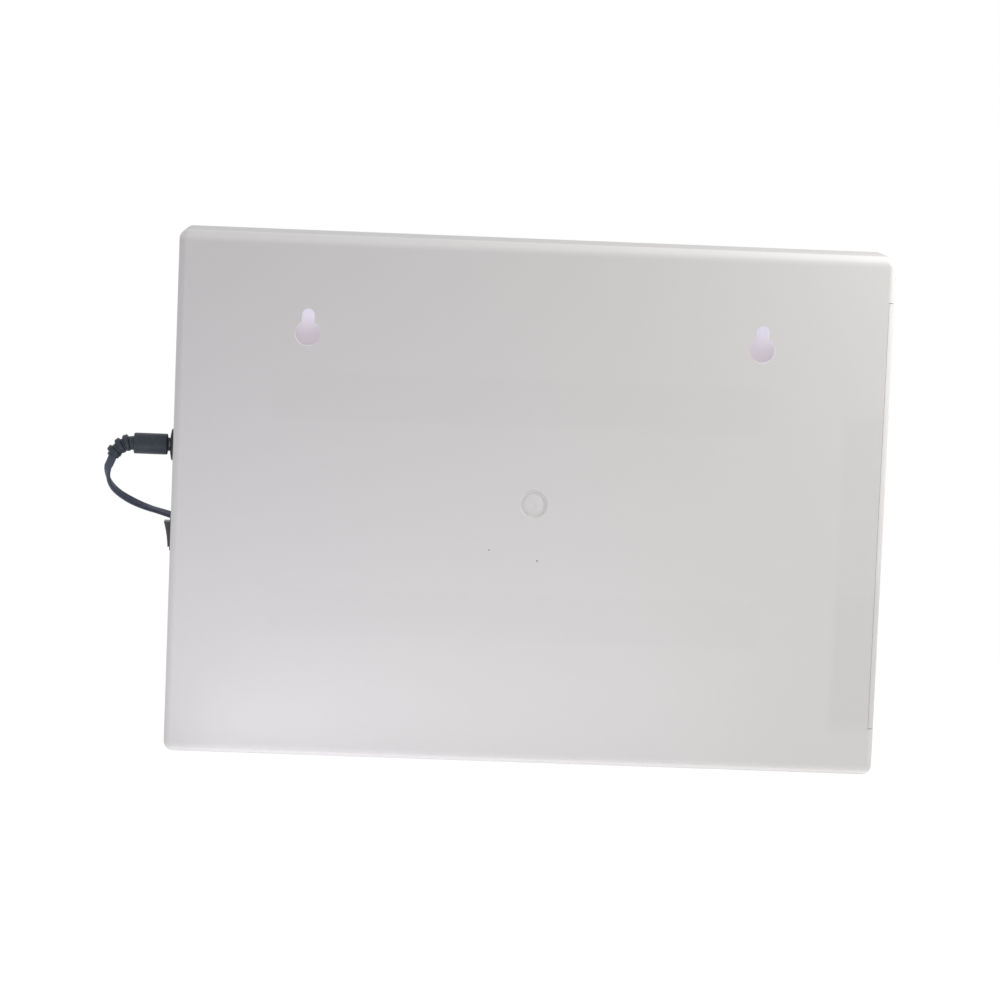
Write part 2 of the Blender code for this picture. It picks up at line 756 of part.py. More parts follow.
def rear_housing():
    """The moulded tray: back, four walls, cell bay, panel ribs, keyhole pockets and all openings."""
    case = outer_body("rear_housing", white_plastic("rear_housing_white"))
    cavity_start = INNER_BACK_Y
    cut(
        case,
        extrusion("cavity", case_outline(WALL, INNER_RADIUS), from_behind, cavity_start, FRONT_Y + OVERRUN),
    )
    join(
        case,
        bay_block(),
        seat_plate("seat_low", COVER_LOW_Z - SEAT_PLATE, BAY_LOW_Z - BAY_WALL + OVERLAP),
        seat_plate("seat_high", BAY_HIGH_Z + BAY_WALL - OVERLAP, COVER_HIGH_Z + SEAT_PLATE),
        blocks("keyhole_bosses", pocket_corners(POCKET_WALL, INNER_BACK_Y - OVERLAP)),
        panel_ribs(),
        strip_guides(),
    )
    cut(
        case,
        block(
            "cover_seat",
            (SEAT_X, BACK_Y - OVERRUN, COVER_LOW_Z),
            (RIGHT_X + OVERRUN, COVER_FRONT_Y, COVER_HIGH_Z),
        ),
        block(
            "bay_void",
            (BAY_X, BAY_BACK_Y, BAY_LOW_Z),
            (RIGHT_X + OVERRUN / 2, BAY_FRONT_Y, BAY_HIGH_Z),
        ),
        blocks("peg_slots", peg_corners(GAP, SEAT_X - SEAT_PLATE - OVERRUN / 4, SEAT_X + OVERRUN / 4)),
        tag_slots(),
        blocks("keyhole_pockets", pocket_corners(0, INNER_BACK_Y)),
        keyhole_cutters(),
        gate_cutter(),
        hook_recesses(),
        rod(
            "jack_hole",
            (LEFT_X - OVERRUN, JACK_Y, JACK_Z),
            (-INNER_X + OVERRUN / 2, JACK_Y, JACK_Z),
            JACK_BARREL_RADIUS + GAP,
            ROUND_SIDES,
        ),
        block(
            "switch_hole",
            (
                LEFT_X - OVERRUN,
                SWITCH_Y - SWITCH_BODY_WIDTH / 2 - GAP,
                SWITCH_Z - SWITCH_BODY_HEIGHT / 2 - GAP,
            ),
            (
                -INNER_X + OVERRUN / 2,
                SWITCH_Y + SWITCH_BODY_WIDTH / 2 + GAP,
                SWITCH_Z + SWITCH_BODY_HEIGHT / 2 + GAP,
            ),
        ),
    )
    return case


def frame_hooks():
    """Snap hooks that reach back from the skirt, each with a barb ramped on both sides."""
    end = SKIRT_END_Y - HOOK_LENGTH
    inner = GAP + SKIRT_WALL + OVERLAP
    section = [
        (GAP, SKIRT_END_Y + OVERLAP),
        (GAP, end + 2 * HOOK_RAMP),
        (GAP - HOOK_BARB, end + HOOK_RAMP),
        (GAP, end),
        (inner, end),
        (inner, SKIRT_END_Y + OVERLAP),
    ]
    bm = bmesh.new()
    for wall, along in hook_sites():
        add_extrusion(bm, section, wall, along - HOOK_WIDTH / 2, along + HOOK_WIDTH / 2)
    return object_from(bm, "frame_hooks")


def window_cutter():
    """The frame's window, chamfered where it meets the front."""
    stations = (
        (FRONT_Y - LIP - OVERRUN, FRAME_BORDER, WINDOW_RADIUS),
        (FRONT_Y - WINDOW_CHAMFER, FRAME_BORDER, WINDOW_RADIUS),
        (FRONT_Y + WINDOW_CHAMFER, FRAME_BORDER - 2 * WINDOW_CHAMFER, WINDOW_RADIUS + 2 * WINDOW_CHAMFER),
    )
    bm = bmesh.new()
    add_loft(bm, [[from_behind(u, v, y) for u, v in case_outline(inset, radius)] for y, inset, radius in stations])
    return object_from(bm, "window_cutter")


def front_frame():
    """The rim around the letter panel, with its skirt and hooks."""
    bm = bmesh.new()
    add_extrusion(bm, case_outline(0, CORNER_RADIUS), from_behind, FRAME_BACK_Y, FRONT_Y)
    edge = [e for e in bm.edges if all(abs(v.co.y - FRONT_Y) < MERGE for v in e.verts)]
    bmesh.ops.bevel(
        bm,
        geom=edge,
        offset=FRAME_FILLET,
        offset_type="OFFSET",
        segments=FILLET_STEPS // 2,
        profile=0.5,
        affect="EDGES",
        material=-1,
    )
    frame = object_from(bm, "front_frame", white_plastic("front_frame_white"))
    skirt_inset = WALL + GAP
    skirt = case_outline(skirt_inset, INNER_RADIUS - GAP)
    rebate = case_outline(skirt_inset + SKIRT_WALL, PANEL_RADIUS)
    join(
        frame,
        extrusion("skirt", skirt, from_behind, SKIRT_END_Y, FRAME_BACK_Y + OVERLAP),
        frame_hooks(),
    )
    cut(
        frame,
        extrusion("rebate", rebate, from_behind, SKIRT_END_Y - HOOK_LENGTH - OVERRUN, FRONT_Y - LIP),
        window_cutter(),
    )
    return frame


def diffuser_panel():
    outline = case_outline(WALL + GAP + SKIRT_WALL + GAP, PANEL_RADIUS)
    return extrusion(
        "diffuser_panel", outline, from_behind, PANEL_BACK_Y, PANEL_FRONT_Y, milky_plastic("panel_milky")
    )


def rail_outline(reach_down, reach_up):
    """A rail's section about its own middle: foot, stem and cap, with a groove wherever it reaches past its stem."""
    stem = RAIL_STEM / 2
    steps = (0, RAIL_FOOT, RAIL_FOOT + RAIL_GROOVE, RAIL_FOOT + RAIL_GROOVE + RAIL_CAP)
    outline = [(steps[0], -reach_down)]
    if reach_down > stem:
        outline += [(steps[1], -reach_down), (steps[1], -stem), (steps[2], -stem), (steps[2], -reach_down)]
    outline += [(steps[3], -reach_down), (steps[3], reach_up)]
    if reach_up > stem:
        outline += [(steps[2], reach_up), (steps[2], stem), (steps[1], stem), (steps[1], reach_up)]
    outline.append((steps[0], reach_up))
    return outline


def letter_rails():
    """Clear rails on the panel. The outer two hold cards on one side, the inner ones on both."""
    half = BOX_WIDTH / 2 - FRAME_BORDER - WINDOW_RADIUS
    stem = RAIL_STEM / 2
    low_z = FRAME_BORDER + GAP + stem
    high_z = BOX_HEIGHT - low_z
    names = ("rail_bottom", "rail_lower_middle", "rail_upper_middle", "rail_top")
    reaches = [(stem, RAIL_REACH)] + [(RAIL_REACH, RAIL_REACH)] * (ROWS - 1) + [(RAIL_REACH, stem)]
    for index, (name, (down, up)) in enumerate(zip(names, reaches)):
        rail = extrusion(name, rail_outline(down, up), from_side, -half, half, clear_plastic(name + "_clear"))
        rail.location = (0, PANEL_FRONT_Y + GAP, low_z + (high_z - low_z) * index / ROWS)


def strip_parts():
    """Corners of each light and each resistor on a strip that runs through the origin, facing +Y."""
    corners = []
    top = STRIP_THICKNESS - OVERLAP / 2
    pitch = STRIP_LENGTH / LIGHT_COUNT
    for index in range(LIGHT_COUNT):
        x = pitch * (index + 0.5) - STRIP_LENGTH / 2
        low = (x - LIGHT_LENGTH / 2, top, -LIGHT_WIDTH / 2)
        corners.append((low, (x + LIGHT_LENGTH / 2, STRIP_THICKNESS + LIGHT_HEIGHT, LIGHT_WIDTH / 2)))
        if index % LIGHTS_PER_RESISTOR == 0:
            start = x + pitch / 2 - RESISTOR_WIDTH / 2
            low = (start, top, -RESISTOR_LENGTH / 2)
            high = (start + RESISTOR_WIDTH, STRIP_THICKNESS + RESISTOR_HEIGHT, RESISTOR_LENGTH / 2)
            corners.append((low, high))
    return corners


def led_strips():
    """Light strips stuck on the back wall, each a board with its lights and resistors on it."""
    for name, z in (("led_strip_lower", STRIP_LOWER_Z), ("led_strip_upper", STRIP_UPPER_Z)):
        strip = block(
            name,
            (-STRIP_LENGTH / 2, 0, -STRIP_WIDTH / 2),
            (STRIP_LENGTH / 2, STRIP_THICKNESS, STRIP_WIDTH / 2),
            finish(name + "_white", (0.82, 0.82, 0.78), 0.5),
        )
        parts = blocks(name + "_parts", strip_parts())
        join(strip, parts)
        strip.location = (STRIP_CENTRE_X, INNER_BACK_Y + GAP, z)
        parts.location = strip.location


def battery_cover():
    """A length of the case's own outside, with a rim that finds the bay and pegs that snap into the ledges."""
    cover = outer_body("battery_cover", white_plastic("battery_cover_white"))
    seat = block(
        "cover_part",
        (SEAT_X + GAP, BACK_Y - OVERRUN, COVER_LOW_Z + COVER_GAP),
        (RIGHT_X + OVERRUN, COVER_FRONT_Y - COVER_GAP, COVER_HIGH_Z - COVER_GAP),
    )
    combine(cover, seat, "INTERSECT")
    back = SEAT_X + GAP + OVERLAP
    low_y = BAY_BACK_Y + COVER_GAP
    high_y = BAY_FRONT_Y - COVER_GAP
    low_z = BAY_LOW_Z + COVER_GAP
    high_z = BAY_HIGH_Z - COVER_GAP
    rim_x = SEAT_X - COVER_RIM_DEPTH
    join(
        cover,
        blocks(
            "cover_rim",
            (
                ((rim_x, low_y, low_z), (back, low_y + COVER_RIM, high_z)),
                ((rim_x, high_y - COVER_RIM, low_z), (back, high_y, high_z)),
            ),
        ),
        blocks("cover_pegs", peg_corners(0, SEAT_X + GAP - PEG_LENGTH, back)),
    )
    return cover


def contact_positive():
    """The plate at the bay's upper end, with a dimple for each row and a tag through the inner wall."""
    low_z = BAY_HIGH_Z - GAP - CONTACT_THICKNESS
    high_z = BAY_HIGH_Z - GAP
    material = nickel("contact_positive_nickel")
    plate = block(
        "contact_positive",
        (BAY_X + CONTACT_MARGIN, BAY_BACK_Y + CONTACT_MARGIN, low_z),
        (SEAT_X - COVER_RIM_DEPTH - CONTACT_MARGIN, BAY_FRONT_Y - CONTACT_MARGIN, high_z),
        material,
    )
    join(plate, contact_tag("positive_tag", low_z, high_z))
    overlap_z = low_z + CONTACT_THICKNESS / 2
    for side, name in ((-1, "dimple_back"), (1, "dimple_front")):
        profile = [
            (0, 0),
            (CONTACT_DIMPLE_RADIUS, 0),
            (CONTACT_DIMPLE_RADIUS * math.cos(math.pi / 4), CONTACT_DIMPLE_HEIGHT),
            (0, CONTACT_DIMPLE_HEIGHT + CONTACT_THICKNESS),
        ]
        centre = (row_x(), BAY_MID_Y + side * BAY_ROW_SPREAD / 2, overlap_z)
        join(plate, turned(name, profile, centre, (0, 0, -1), SMALL_SIDES))
    return plate


def row_x():
    """Where the cells' axes lie across the bay."""
    return (BAY_X + SEAT_X) / 2


def contact_tag(name, low_z, high_z):
    return block(
        name,
        (BAY_X - BAY_WALL - TAG_REACH, BAY_MID_Y - TAG_WIDTH / 2, low_z),
        (BAY_X + CONTACT_MARGIN + OVERLAP, BAY_MID_Y + TAG_WIDTH / 2, high_z),
    )


def contact_negative():
    low_z = BAY_LOW_Z + GAP
    high_z = BAY_LOW_Z + GAP + CONTACT_THICKNESS
    plate = block(
        "contact_negative",
        (BAY_X + CONTACT_MARGIN, BAY_BACK_Y + CONTACT_MARGIN, low_z),
        (SEAT_X - COVER_RIM_DEPTH - CONTACT_MARGIN, BAY_FRONT_Y - CONTACT_MARGIN, high_z),
        nickel("contact_negative_nickel"),
    )
    join(plate, contact_tag("negative_tag", low_z, high_z))
    return plate


def spring_places():
    """Points along one conical spring that stands on the origin."""
    steps = SPRING_TURNS * SPRING_CURL_POINTS
    places = []
    for step in range(steps + 1):
        share = step / steps
        angle = math.tau * SPRING_TURNS * share
        radius = SPRING_FOOT_RADIUS + (SPRING_TIP_RADIUS - SPRING_FOOT_RADIUS) * share
        rise = SPRING_WIRE / 2 + (SPRING_HEIGHT - SPRING_WIRE) * share
        places.append((radius * math.cos(angle), radius * math.sin(angle), rise))
    return places


def battery_springs():
    """A conical spring for each row of cells, standing on the negative plate."""
    foot_z = BAY_LOW_Z + GAP + CONTACT_THICKNESS + GAP
    for side, name in ((-1, "battery_spring_back"), (1, "battery_spring_front")):
        spring = tube(name, spring_places(), SPRING_WIRE, 1, nickel(name + "_nickel"))
        spring.location = (row_x(), BAY_MID_Y + side * BAY_ROW_SPREAD / 2, foot_z)


def jack_body():
    """The socket: domed flange outside, barrel through the wall, and a bore with the pin's hole in its floor."""
    end = JACK_BARREL_LENGTH + JACK_TAIL_LENGTH
    crown = -JACK_FLANGE_CROWN
    bore = SLEEVE_RADIUS + GAP
    floor = crown + JACK_BORE_DEPTH
    shoulder = (JACK_FLANGE_RADIUS + bore) / 2
    profile = [
        (bore, floor),
        (bore, crown + JACK_MOUTH_CHAMFER),
        (bore + JACK_MOUTH_CHAMFER, crown),
        (shoulder, crown + JACK_MOUTH_CHAMFER),
        (JACK_FLANGE_RADIUS, -JACK_FLANGE_RIM),
        (JACK_FLANGE_RADIUS, 0),
        (JACK_BARREL_RADIUS, 0),
        (JACK_BARREL_RADIUS, JACK_BARREL_LENGTH),
        (JACK_TAIL_RADIUS, JACK_BARREL_LENGTH),
        (JACK_TAIL_RADIUS, end),
        (JACK_PIN_RADIUS + GAP, end),
        (JACK_PIN_RADIUS + GAP, floor),
    ]
    centre = (JACK_SEAT_X, JACK_Y, JACK_Z)
    return turned("jack_body", profile, centre, (1, 0, 0), ROUND_SIDES, black_plastic("jack_black"))


def jack_nut():
    """The hexagonal nut that draws the flange against the wall."""
    start = -INNER_X + GAP
    radius = NUT_FLATS / 2 / math.cos(math.pi / NUT_SIDES)
    outline = []
    for corner in range(NUT_SIDES):
        angle = math.tau * corner / NUT_SIDES
        outline.append((JACK_Y + radius * math.cos(angle), JACK_Z + radius * math.sin(angle)))
    nut = extrusion("jack_nut", outline, from_side, start, start + NUT_THICKNESS, nickel("jack_nut_nickel"))
    bore = rod(
        "nut_bore",
        (start - OVERRUN / 2, JACK_Y, JACK_Z),
        (start + NUT_THICKNESS + OVERRUN / 2, JACK_Y, JACK_Z),
        JACK_BARREL_RADIUS + GAP,
        ROUND_SIDES,
    )
    cut(nut, bore)
    return nut


def jack_contacts():
    """The centre pin, and the two tags behind the socket."""
    rod(
        "jack_pin",
        (JACK_CROWN_X + JACK_PIN_INSET, JACK_Y, JACK_Z),
        (JACK_END_X + JACK_PIN_TAG, JACK_Y, JACK_Z),
        JACK_PIN_RADIUS,
        SMALL_SIDES // 2,
        brass("jack_pin_brass"),
    )
    start = JACK_END_X + GAP
    for side, name in ((-1, "jack_tag_sleeve"), (1, "jack_tag_break")):
        z = JACK_Z + side * JACK_TAG_OFFSET
        low = (start, JACK_Y - JACK_TAG_WIDTH / 2, z - JACK_TAG_THICKNESS / 2)
        high = (start + JACK_TAG_LENGTH, JACK_Y + JACK_TAG_WIDTH / 2, z + JACK_TAG_THICKNESS / 2)
        block(name, low, high, brass(name + "_brass"))


def plug_sleeve():
    """The bored metal sleeve, from its root in the plug to its tip in the socket."""
    length = SLEEVE_ROOT + SLEEVE_REACH - GAP
    profile = [
        (0, SLEEVE_ROOT),
        (SLEEVE_BORE_RADIUS, SLEEVE_ROOT),
        (SLEEVE_BORE_RADIUS, length),
        (SLEEVE_RADIUS - SLEEVE_TIP_CHAMFER, length),
        (SLEEVE_RADIUS, length - SLEEVE_TIP_CHAMFER),
        (SLEEVE_RADIUS, 0),
        (0, 0),
    ]
    centre = (PLUG_FACE_X - SLEEVE_ROOT + GAP, JACK_Y, JACK_Z)
    return turned("plug_sleeve", profile, centre, (1, 0, 0), ROUND_SIDES, nickel("plug_sleeve_nickel"))


def relief_station(share, lift):
    """A place on the relief's bent axis, lifted towards the outside of the bend, and its heading there."""
    bend = RELIEF_BEND * share
    radius = RELIEF_LENGTH / RELIEF_BEND
    place = Vector((PLUG_END_X - radius * math.sin(bend), JACK_Y, JACK_Z - radius * (1 - math.cos(bend))))
    outward = Vector((-math.sin(bend), 0, math.cos(bend)))
    return place + outward * lift, Vector((-math.cos(bend), 0, -math.sin(bend)))


def relief_rings():
    """(share of the relief's length, radius, lift): a core that tapers, with ribs on it that grow smaller."""
    half = RELIEF_RIB_WIDTH / 2 / RELIEF_LENGTH
    edge = RELIEF_RIB_EDGE / RELIEF_LENGTH

    def core(share):
        return RELIEF_CORE_RADIUS + (RELIEF_TIP_CORE_RADIUS - RELIEF_CORE_RADIUS) * share

    rings = {}
    for step in range(RELIEF_STEPS + 1):
        share = step / RELIEF_STEPS
        if all(abs(share - middle) > half + edge for middle in RELIEF_RIB_SHARES):
            rings[share] = (core(share), 0)
    for middle in RELIEF_RIB_SHARES:
        rib = RELIEF_RIB_RADIUS + (RELIEF_TIP_RIB_RADIUS - RELIEF_RIB_RADIUS) * middle
        rings[middle - half] = (core(middle), 0)
        rings[middle - half + edge] = (rib, RELIEF_RIB_LIFT)
        rings[middle + half - edge] = (rib, RELIEF_RIB_LIFT)
        rings[middle + half] = (core(middle), 0)
    return sorted((share, radius, lift) for share, (radius, lift) in rings.items())


def plug_stations():
    """(place, heading, radius) from the plug's face to the relief's end."""
    straight = Vector((-1, 0, 0))
    face = Vector((PLUG_FACE_X, JACK_Y, JACK_Z))
    stations = [
        (face, straight, PLUG_RADIUS - PLUG_EDGE),
        (face + straight * PLUG_EDGE, straight, PLUG_RADIUS),
        (face + straight * (PLUG_LENGTH - PLUG_EDGE), straight, PLUG_RADIUS),
        (face + straight * (PLUG_LENGTH - OVERLAP / 2), straight, PLUG_RADIUS - PLUG_EDGE),
    ]
    return stations + [(*relief_station(share, lift), radius) for share, radius, lift in relief_rings()]


def plug_body():
    """The overmoulded plug and its ribbed relief, which bends down towards the lead."""
    sections = []
    for place, heading, radius in plug_stations():
        level = Vector((0, 1, 0))
        rise = heading.cross(level)
        section = []
        for side in range(ROUND_SIDES - FILLET_STEPS):
            angle = math.tau * side / (ROUND_SIDES - FILLET_STEPS)
            section.append(place + level * radius * math.cos(angle) + rise * radius * math.sin(angle))
        sections.append(section)
    bm = bmesh.new()
    add_loft(bm, sections)
    body = object_from(bm, "plug_body", dark_pvc("plug_body_pvc"))
    bore = rod(
        "plug_bore",
        (PLUG_FACE_X + OVERRUN, JACK_Y, JACK_Z),
        (PLUG_FACE_X - SLEEVE_ROOT, JACK_Y, JACK_Z),
        SLEEVE_RADIUS + GAP,
        SMALL_SIDES,
    )
    cut(body, bore)
    return body


def switch_section(width, height, radius):
    return rounded_rectangle(width, height, radius, (SWITCH_Y, SWITCH_Z))


def switch_housing():
    """The bezel and body of the switch, open at the mouth, with a hole in each cheek for the rocker's pin."""
    bm = bmesh.new()
    outline = switch_section(BEZEL_WIDTH, BEZEL_HEIGHT, BEZEL_RADIUS)
    add_extrusion(bm, outline, from_side, BEZEL_SEAT_X, BEZEL_FACE_X)
    edge = [e for e in bm.edges if all(abs(v.co.x - BEZEL_FACE_X) < MERGE for v in e.verts)]
    bmesh.ops.bevel(
        bm, geom=edge, offset=BEZEL_EDGE, offset_type="OFFSET", segments=1, profile=0.5, affect="EDGES", material=-1
    )
    housing = object_from(bm, "switch_housing", black_plastic("switch_housing_black"))
    body = switch_section(SWITCH_BODY_WIDTH, SWITCH_BODY_HEIGHT, BEZEL_EDGE)
    inner_width = SWITCH_BODY_WIDTH - 2 * SWITCH_WALL
    inner_height = SWITCH_BODY_HEIGHT - 2 * SWITCH_WALL
    join(housing, extrusion("switch_body", body, from_side, BEZEL_SEAT_X - OVERLAP, SWITCH_END_X))
    cut(
        housing,
        block(
            "switch_mouth",
            (BEZEL_FACE_X - OVERRUN, SWITCH_Y - MOUTH_WIDTH / 2, SWITCH_Z - MOUTH_HEIGHT / 2),
            (BEZEL_SEAT_X - OVERLAP, SWITCH_Y + MOUTH_WIDTH / 2, SWITCH_Z + MOUTH_HEIGHT / 2),
        ),
        block(
            "switch_cavity",
            (BEZEL_FACE_X - OVERRUN / 2, SWITCH_Y - inner_width / 2, SWITCH_Z - inner_height / 2),
            (SWITCH_END_X - SWITCH_FLOOR, SWITCH_Y + inner_width / 2, SWITCH_Z + inner_height / 2),
        ),
        rod(
            "pivot_bore",
            (PIVOT_X, SWITCH_Y - BEZEL_WIDTH, SWITCH_Z),
            (PIVOT_X, SWITCH_Y + BEZEL_WIDTH, SWITCH_Z),
            PIVOT_BORE_RADIUS,
            SMALL_SIDES,
        ),
    )
    return housing


def rocker_outline():
    """The rocker's section about its pivot, level: (outwards, up). Its face is slightly hollow."""
    face = []
    for step in range(ROCKER_FACE_STEPS + 1):
        share = 1 - 2 * step / ROCKER_FACE_STEPS
        face.append((ROCKER_CROWN + ROCKER_RISE * share * share, ROCKER_HALF_LENGTH * share))
    sides = (
        (ROCKER_WAIST_HEIGHT, ROCKER_WAIST_HALF_LENGTH),
        (-ROCKER_SHOULDER_DEPTH, ROCKER_SHOULDER_HALF_LENGTH),
        (-ROCKER_KEEL_DEPTH, ROCKER_KEEL_HALF_LENGTH),
    )
    lower = [(outwards, -up) for outwards, up in sides]
    return face + lower + list(reversed(sides))


def switch_rocker():
    """The rocker with its stub pins, tipped so that its upper end stands out."""
    half = ROCKER_WIDTH / 2

    def place(outwards, up, along):
        return (-outwards, along, up)

    bm = bmesh.new()
    add_extrusion(bm, rocker_outline(), place, -half, half)
    crown = ROCKER_CROWN - ROCKER_RISE
    edge = [e for e in bm.edges if all(v.co.x < -crown for v in e.verts) and not along_face(e)]
    bmesh.ops.bevel(
        bm, geom=edge, offset=ROCKER_EDGE, offset_type="OFFSET", segments=2, profile=0.5, affect="EDGES", material=-1
    )
    rocker = object_from(bm, "switch_rocker", black_plastic("switch_rocker_black"))
    reach = SWITCH_BODY_WIDTH / 2 - GAP
    pins = rod("rocker_pins", (0, -reach, 0), (0, reach, 0), PIVOT_RADIUS, SMALL_SIDES // 2)
    join(rocker, pins)
    for item in (rocker, pins):
        item.location = (PIVOT_X, SWITCH_Y, SWITCH_Z)
        item.rotation_euler = (0, -ROCKER_TILT, 0)
    return rocker


def along_face(edge):
    """Whether an edge runs across the rocker's width inside its face, and so is no outer edge of it."""
    ends = [v.co for v in edge.verts]
    across = abs(ends[0].y - ends[1].y) > ROCKER_WIDTH / 2
    return across and all(abs(end.z) < ROCKER_HALF_LENGTH - MERGE for end in ends)


def switch_tags():
    start = SWITCH_END_X + GAP
    for side, name in ((1, "switch_tag_upper"), (-1, "switch_tag_lower")):
        z = SWITCH_Z + side * SWITCH_TAG_OFFSET
        low = (start, SWITCH_Y - SWITCH_TAG_WIDTH / 2, z - SWITCH_TAG_THICKNESS / 2)
        high = (start + SWITCH_TAG_LENGTH, SWITCH_Y + SWITCH_TAG_WIDTH / 2, z + SWITCH_TAG_THICKNESS / 2)
        block(name, low, high, brass(name + "_brass"))


def smooth_route(places, spacing, first_heading, last_heading):
    """Evenly spaced points on a smooth curve through the places, which never swings out past them."""
    corners = np.array([tuple(place) for place in places])
    steps = np.diff(corners, axis=0)
    spans = np.linalg.norm(steps, axis=1)[:, None]
    rates = steps / spans
    slopes = np.zeros_like(corners)
    slopes[0] = Vector(first_heading).normalized()
    slopes[-1] = Vector(last_heading).normalized()
    before, after = rates[:-1], rates[1:]
    near, far = spans[:-1] + 2 * spans[1:], 2 * spans[:-1] + spans[1:]
    steady = before * after > 0
    blend = near * np.where(steady, after, 1) + far * np.where(steady, before, 1)
    slopes[1:-1] = np.where(steady, (near + far) * before * after / blend, 0)
    fine = []
    for corner, target, leave, arrive, span in zip(corners, corners[1:], slopes, slopes[1:], spans):
        for t in np.linspace(0, 1, max(8, int(8 * span[0] / spacing)), endpoint=False):
            lead_in = corner * (1 + 2 * t) * (1 - t) ** 2 + leave * span * t * (1 - t) ** 2
            fine.append(lead_in + target * t * t * (3 - 2 * t) + arrive * span * t * t * (t - 1))
    fine = np.array([*fine, corners[-1]])
    lengths = np.concatenate([[0], np.cumsum(np.linalg.norm(np.diff(fine, axis=0), axis=1))])
    stops = np.linspace(0, lengths[-1], max(2, round(lengths[-1] / spacing)) + 1)
    return np.stack([np.interp(stops, lengths, fine[:, axis]) for axis in range(3)], axis=1)


def run_between(start, heading, places, end, last_heading, diameter, spacing):
    """A line that leaves its start and meets its end straight, for one diameter at each."""
    start, heading, end, last_heading = (Vector(value) for value in (start, heading, end, last_heading))
    ahead = start + heading * diameter
    before = end - last_heading * diameter
    curve = smooth_route((ahead, *places, before), spacing, heading, last_heading)
    return [tuple(start), *curve, tuple(end)]


def wire(name, start, heading, places, end, last_heading, colour):
    """An insulated wire from one terminal to the other, by way of the places."""
    material = finish(name + "_insulation", colour, 0.45)
    line = run_between(start, heading, places, end, last_heading, WIRE_DIAMETER, WIRE_SPACING)
    return tube(name, line, WIRE_DIAMETER, 1, material)


def battery_wires():
    """The wires from the cell bay to the socket, low and high along the back wall."""
    floor_y = INNER_BACK_Y + WIRE_DIAMETER / 2 + GAP
    tag_x = BAY_X - BAY_WALL - TAG_REACH - GAP
    jack_x = JACK_END_X + GAP + JACK_TAG_LENGTH + GAP
    turn_x = jack_x + WIRE_LANE
    tag_middle = GAP + CONTACT_THICKNESS / 2
    ends = (
        ("wire_battery_negative", BAY_LOW_Z + tag_middle, -1, JACK_Z - JACK_TAG_OFFSET, WIRE_BLACK),
        ("wire_battery_positive", BAY_HIGH_Z - tag_middle, 1, JACK_Z + JACK_TAG_OFFSET, WIRE_RED),
    )
    for name, tag_z, side, jack_tag_z, colour in ends:
        lane_z = tag_z + side * WIRE_LANE
        places = (
            (tag_x - WIRE_CLIMB, BAY_MID_Y - WIRE_CLIMB / 2, tag_z + side * WIRE_LANE / 4),
            (tag_x - 2 * WIRE_CLIMB, floor_y, lane_z),
            (STRIP_CENTRE_X, floor_y, lane_z),
            (turn_x + WIRE_LANE, floor_y, lane_z),
            (turn_x, floor_y, lane_z - side * WIRE_LANE),
            (turn_x, floor_y, JACK_Z + side * (3 * WIRE_LANE)),
            (turn_x - WIRE_LANE / 4, floor_y + WIRE_CLIMB, JACK_Z + side * WIRE_LANE),
        )
        wire(
            name,
            (tag_x, BAY_MID_Y, tag_z),
            (-1, 0, 0),
            places,
            (jack_x, JACK_Y, jack_tag_z),
            (-1, 0, 0),
            colour,
        )


def lamp_wires():
    """The wires from the socket through the switch to the strips."""
    floor_y = INNER_BACK_Y + WIRE_DIAMETER / 2 + GAP
    jack_x = JACK_END_X + GAP + JACK_TAG_LENGTH + GAP
    pin_x = JACK_END_X + JACK_PIN_TAG + GAP
    switch_x = SWITCH_END_X + GAP + SWITCH_TAG_LENGTH + GAP
    turn_x = jack_x + WIRE_LANE
    strip_x = STRIP_CENTRE_X - STRIP_LENGTH / 2 - GAP
    pad_z = STRIP_LOWER_Z - PAD_PITCH
    wire(
        "wire_jack_switch",
        (pin_x, JACK_Y, JACK_Z),
        (1, 0, 0),
        (
            (pin_x + WIRE_CLIMB, JACK_Y + WIRE_CLIMB / 2, JACK_Z - WIRE_LANE / 2),
            (switch_x + WIRE_CLIMB, SWITCH_Y + WIRE_CLIMB / 2, SWITCH_Z + WIRE_LANE),
        ),
        (switch_x, SWITCH_Y, SWITCH_Z + SWITCH_TAG_OFFSET),
        (-1, 0, 0),
        WIRE_RED,
    )
    wire(
        "wire_switch_strip",
        (switch_x, SWITCH_Y, SWITCH_Z - SWITCH_TAG_OFFSET),
        (1, 0, 0),
        (
            (switch_x + WIRE_CLIMB / 2, SWITCH_Y - WIRE_CLIMB, SWITCH_Z - WIRE_LANE),
            (turn_x, floor_y + WIRE_CLIMB / 2, pad_z + WIRE_LANE),
            (turn_x + WIRE_LANE / 2, floor_y + WIRE_PITCH / 2, pad_z + WIRE_PITCH / 2),
        ),
        (strip_x, floor_y, pad_z),
        (1, 0, 0),
        WIRE_RED,
    )


def strip_wires():
    """The wires that carry both poles from the lower strip to the upper one."""
    floor_y = INNER_BACK_Y + WIRE_DIAMETER / 2 + GAP
    start_x = STRIP_CENTRE_X - STRIP_LENGTH / 2 - GAP
    links = (
        ("wire_link_positive", WIRE_RED, STRIP_LOWER_Z + PAD_PITCH, STRIP_UPPER_Z - PAD_PITCH),
        ("wire_link_negative", WIRE_BLACK, STRIP_LOWER_Z, STRIP_UPPER_Z),
    )
    for index, (name, colour, low_z, high_z) in enumerate(links):
        lane_x = start_x - WIRE_LANE - index * WIRE_PITCH
        places = (
            (lane_x, floor_y, low_z + WIRE_CLIMB),
            (lane_x, floor_y, high_z - WIRE_CLIMB),
        )
        wire(name, (start_x, floor_y, low_z), (-1, 0, 0), places, (start_x, floor_y, high_z), (1, 0, 0), colour)


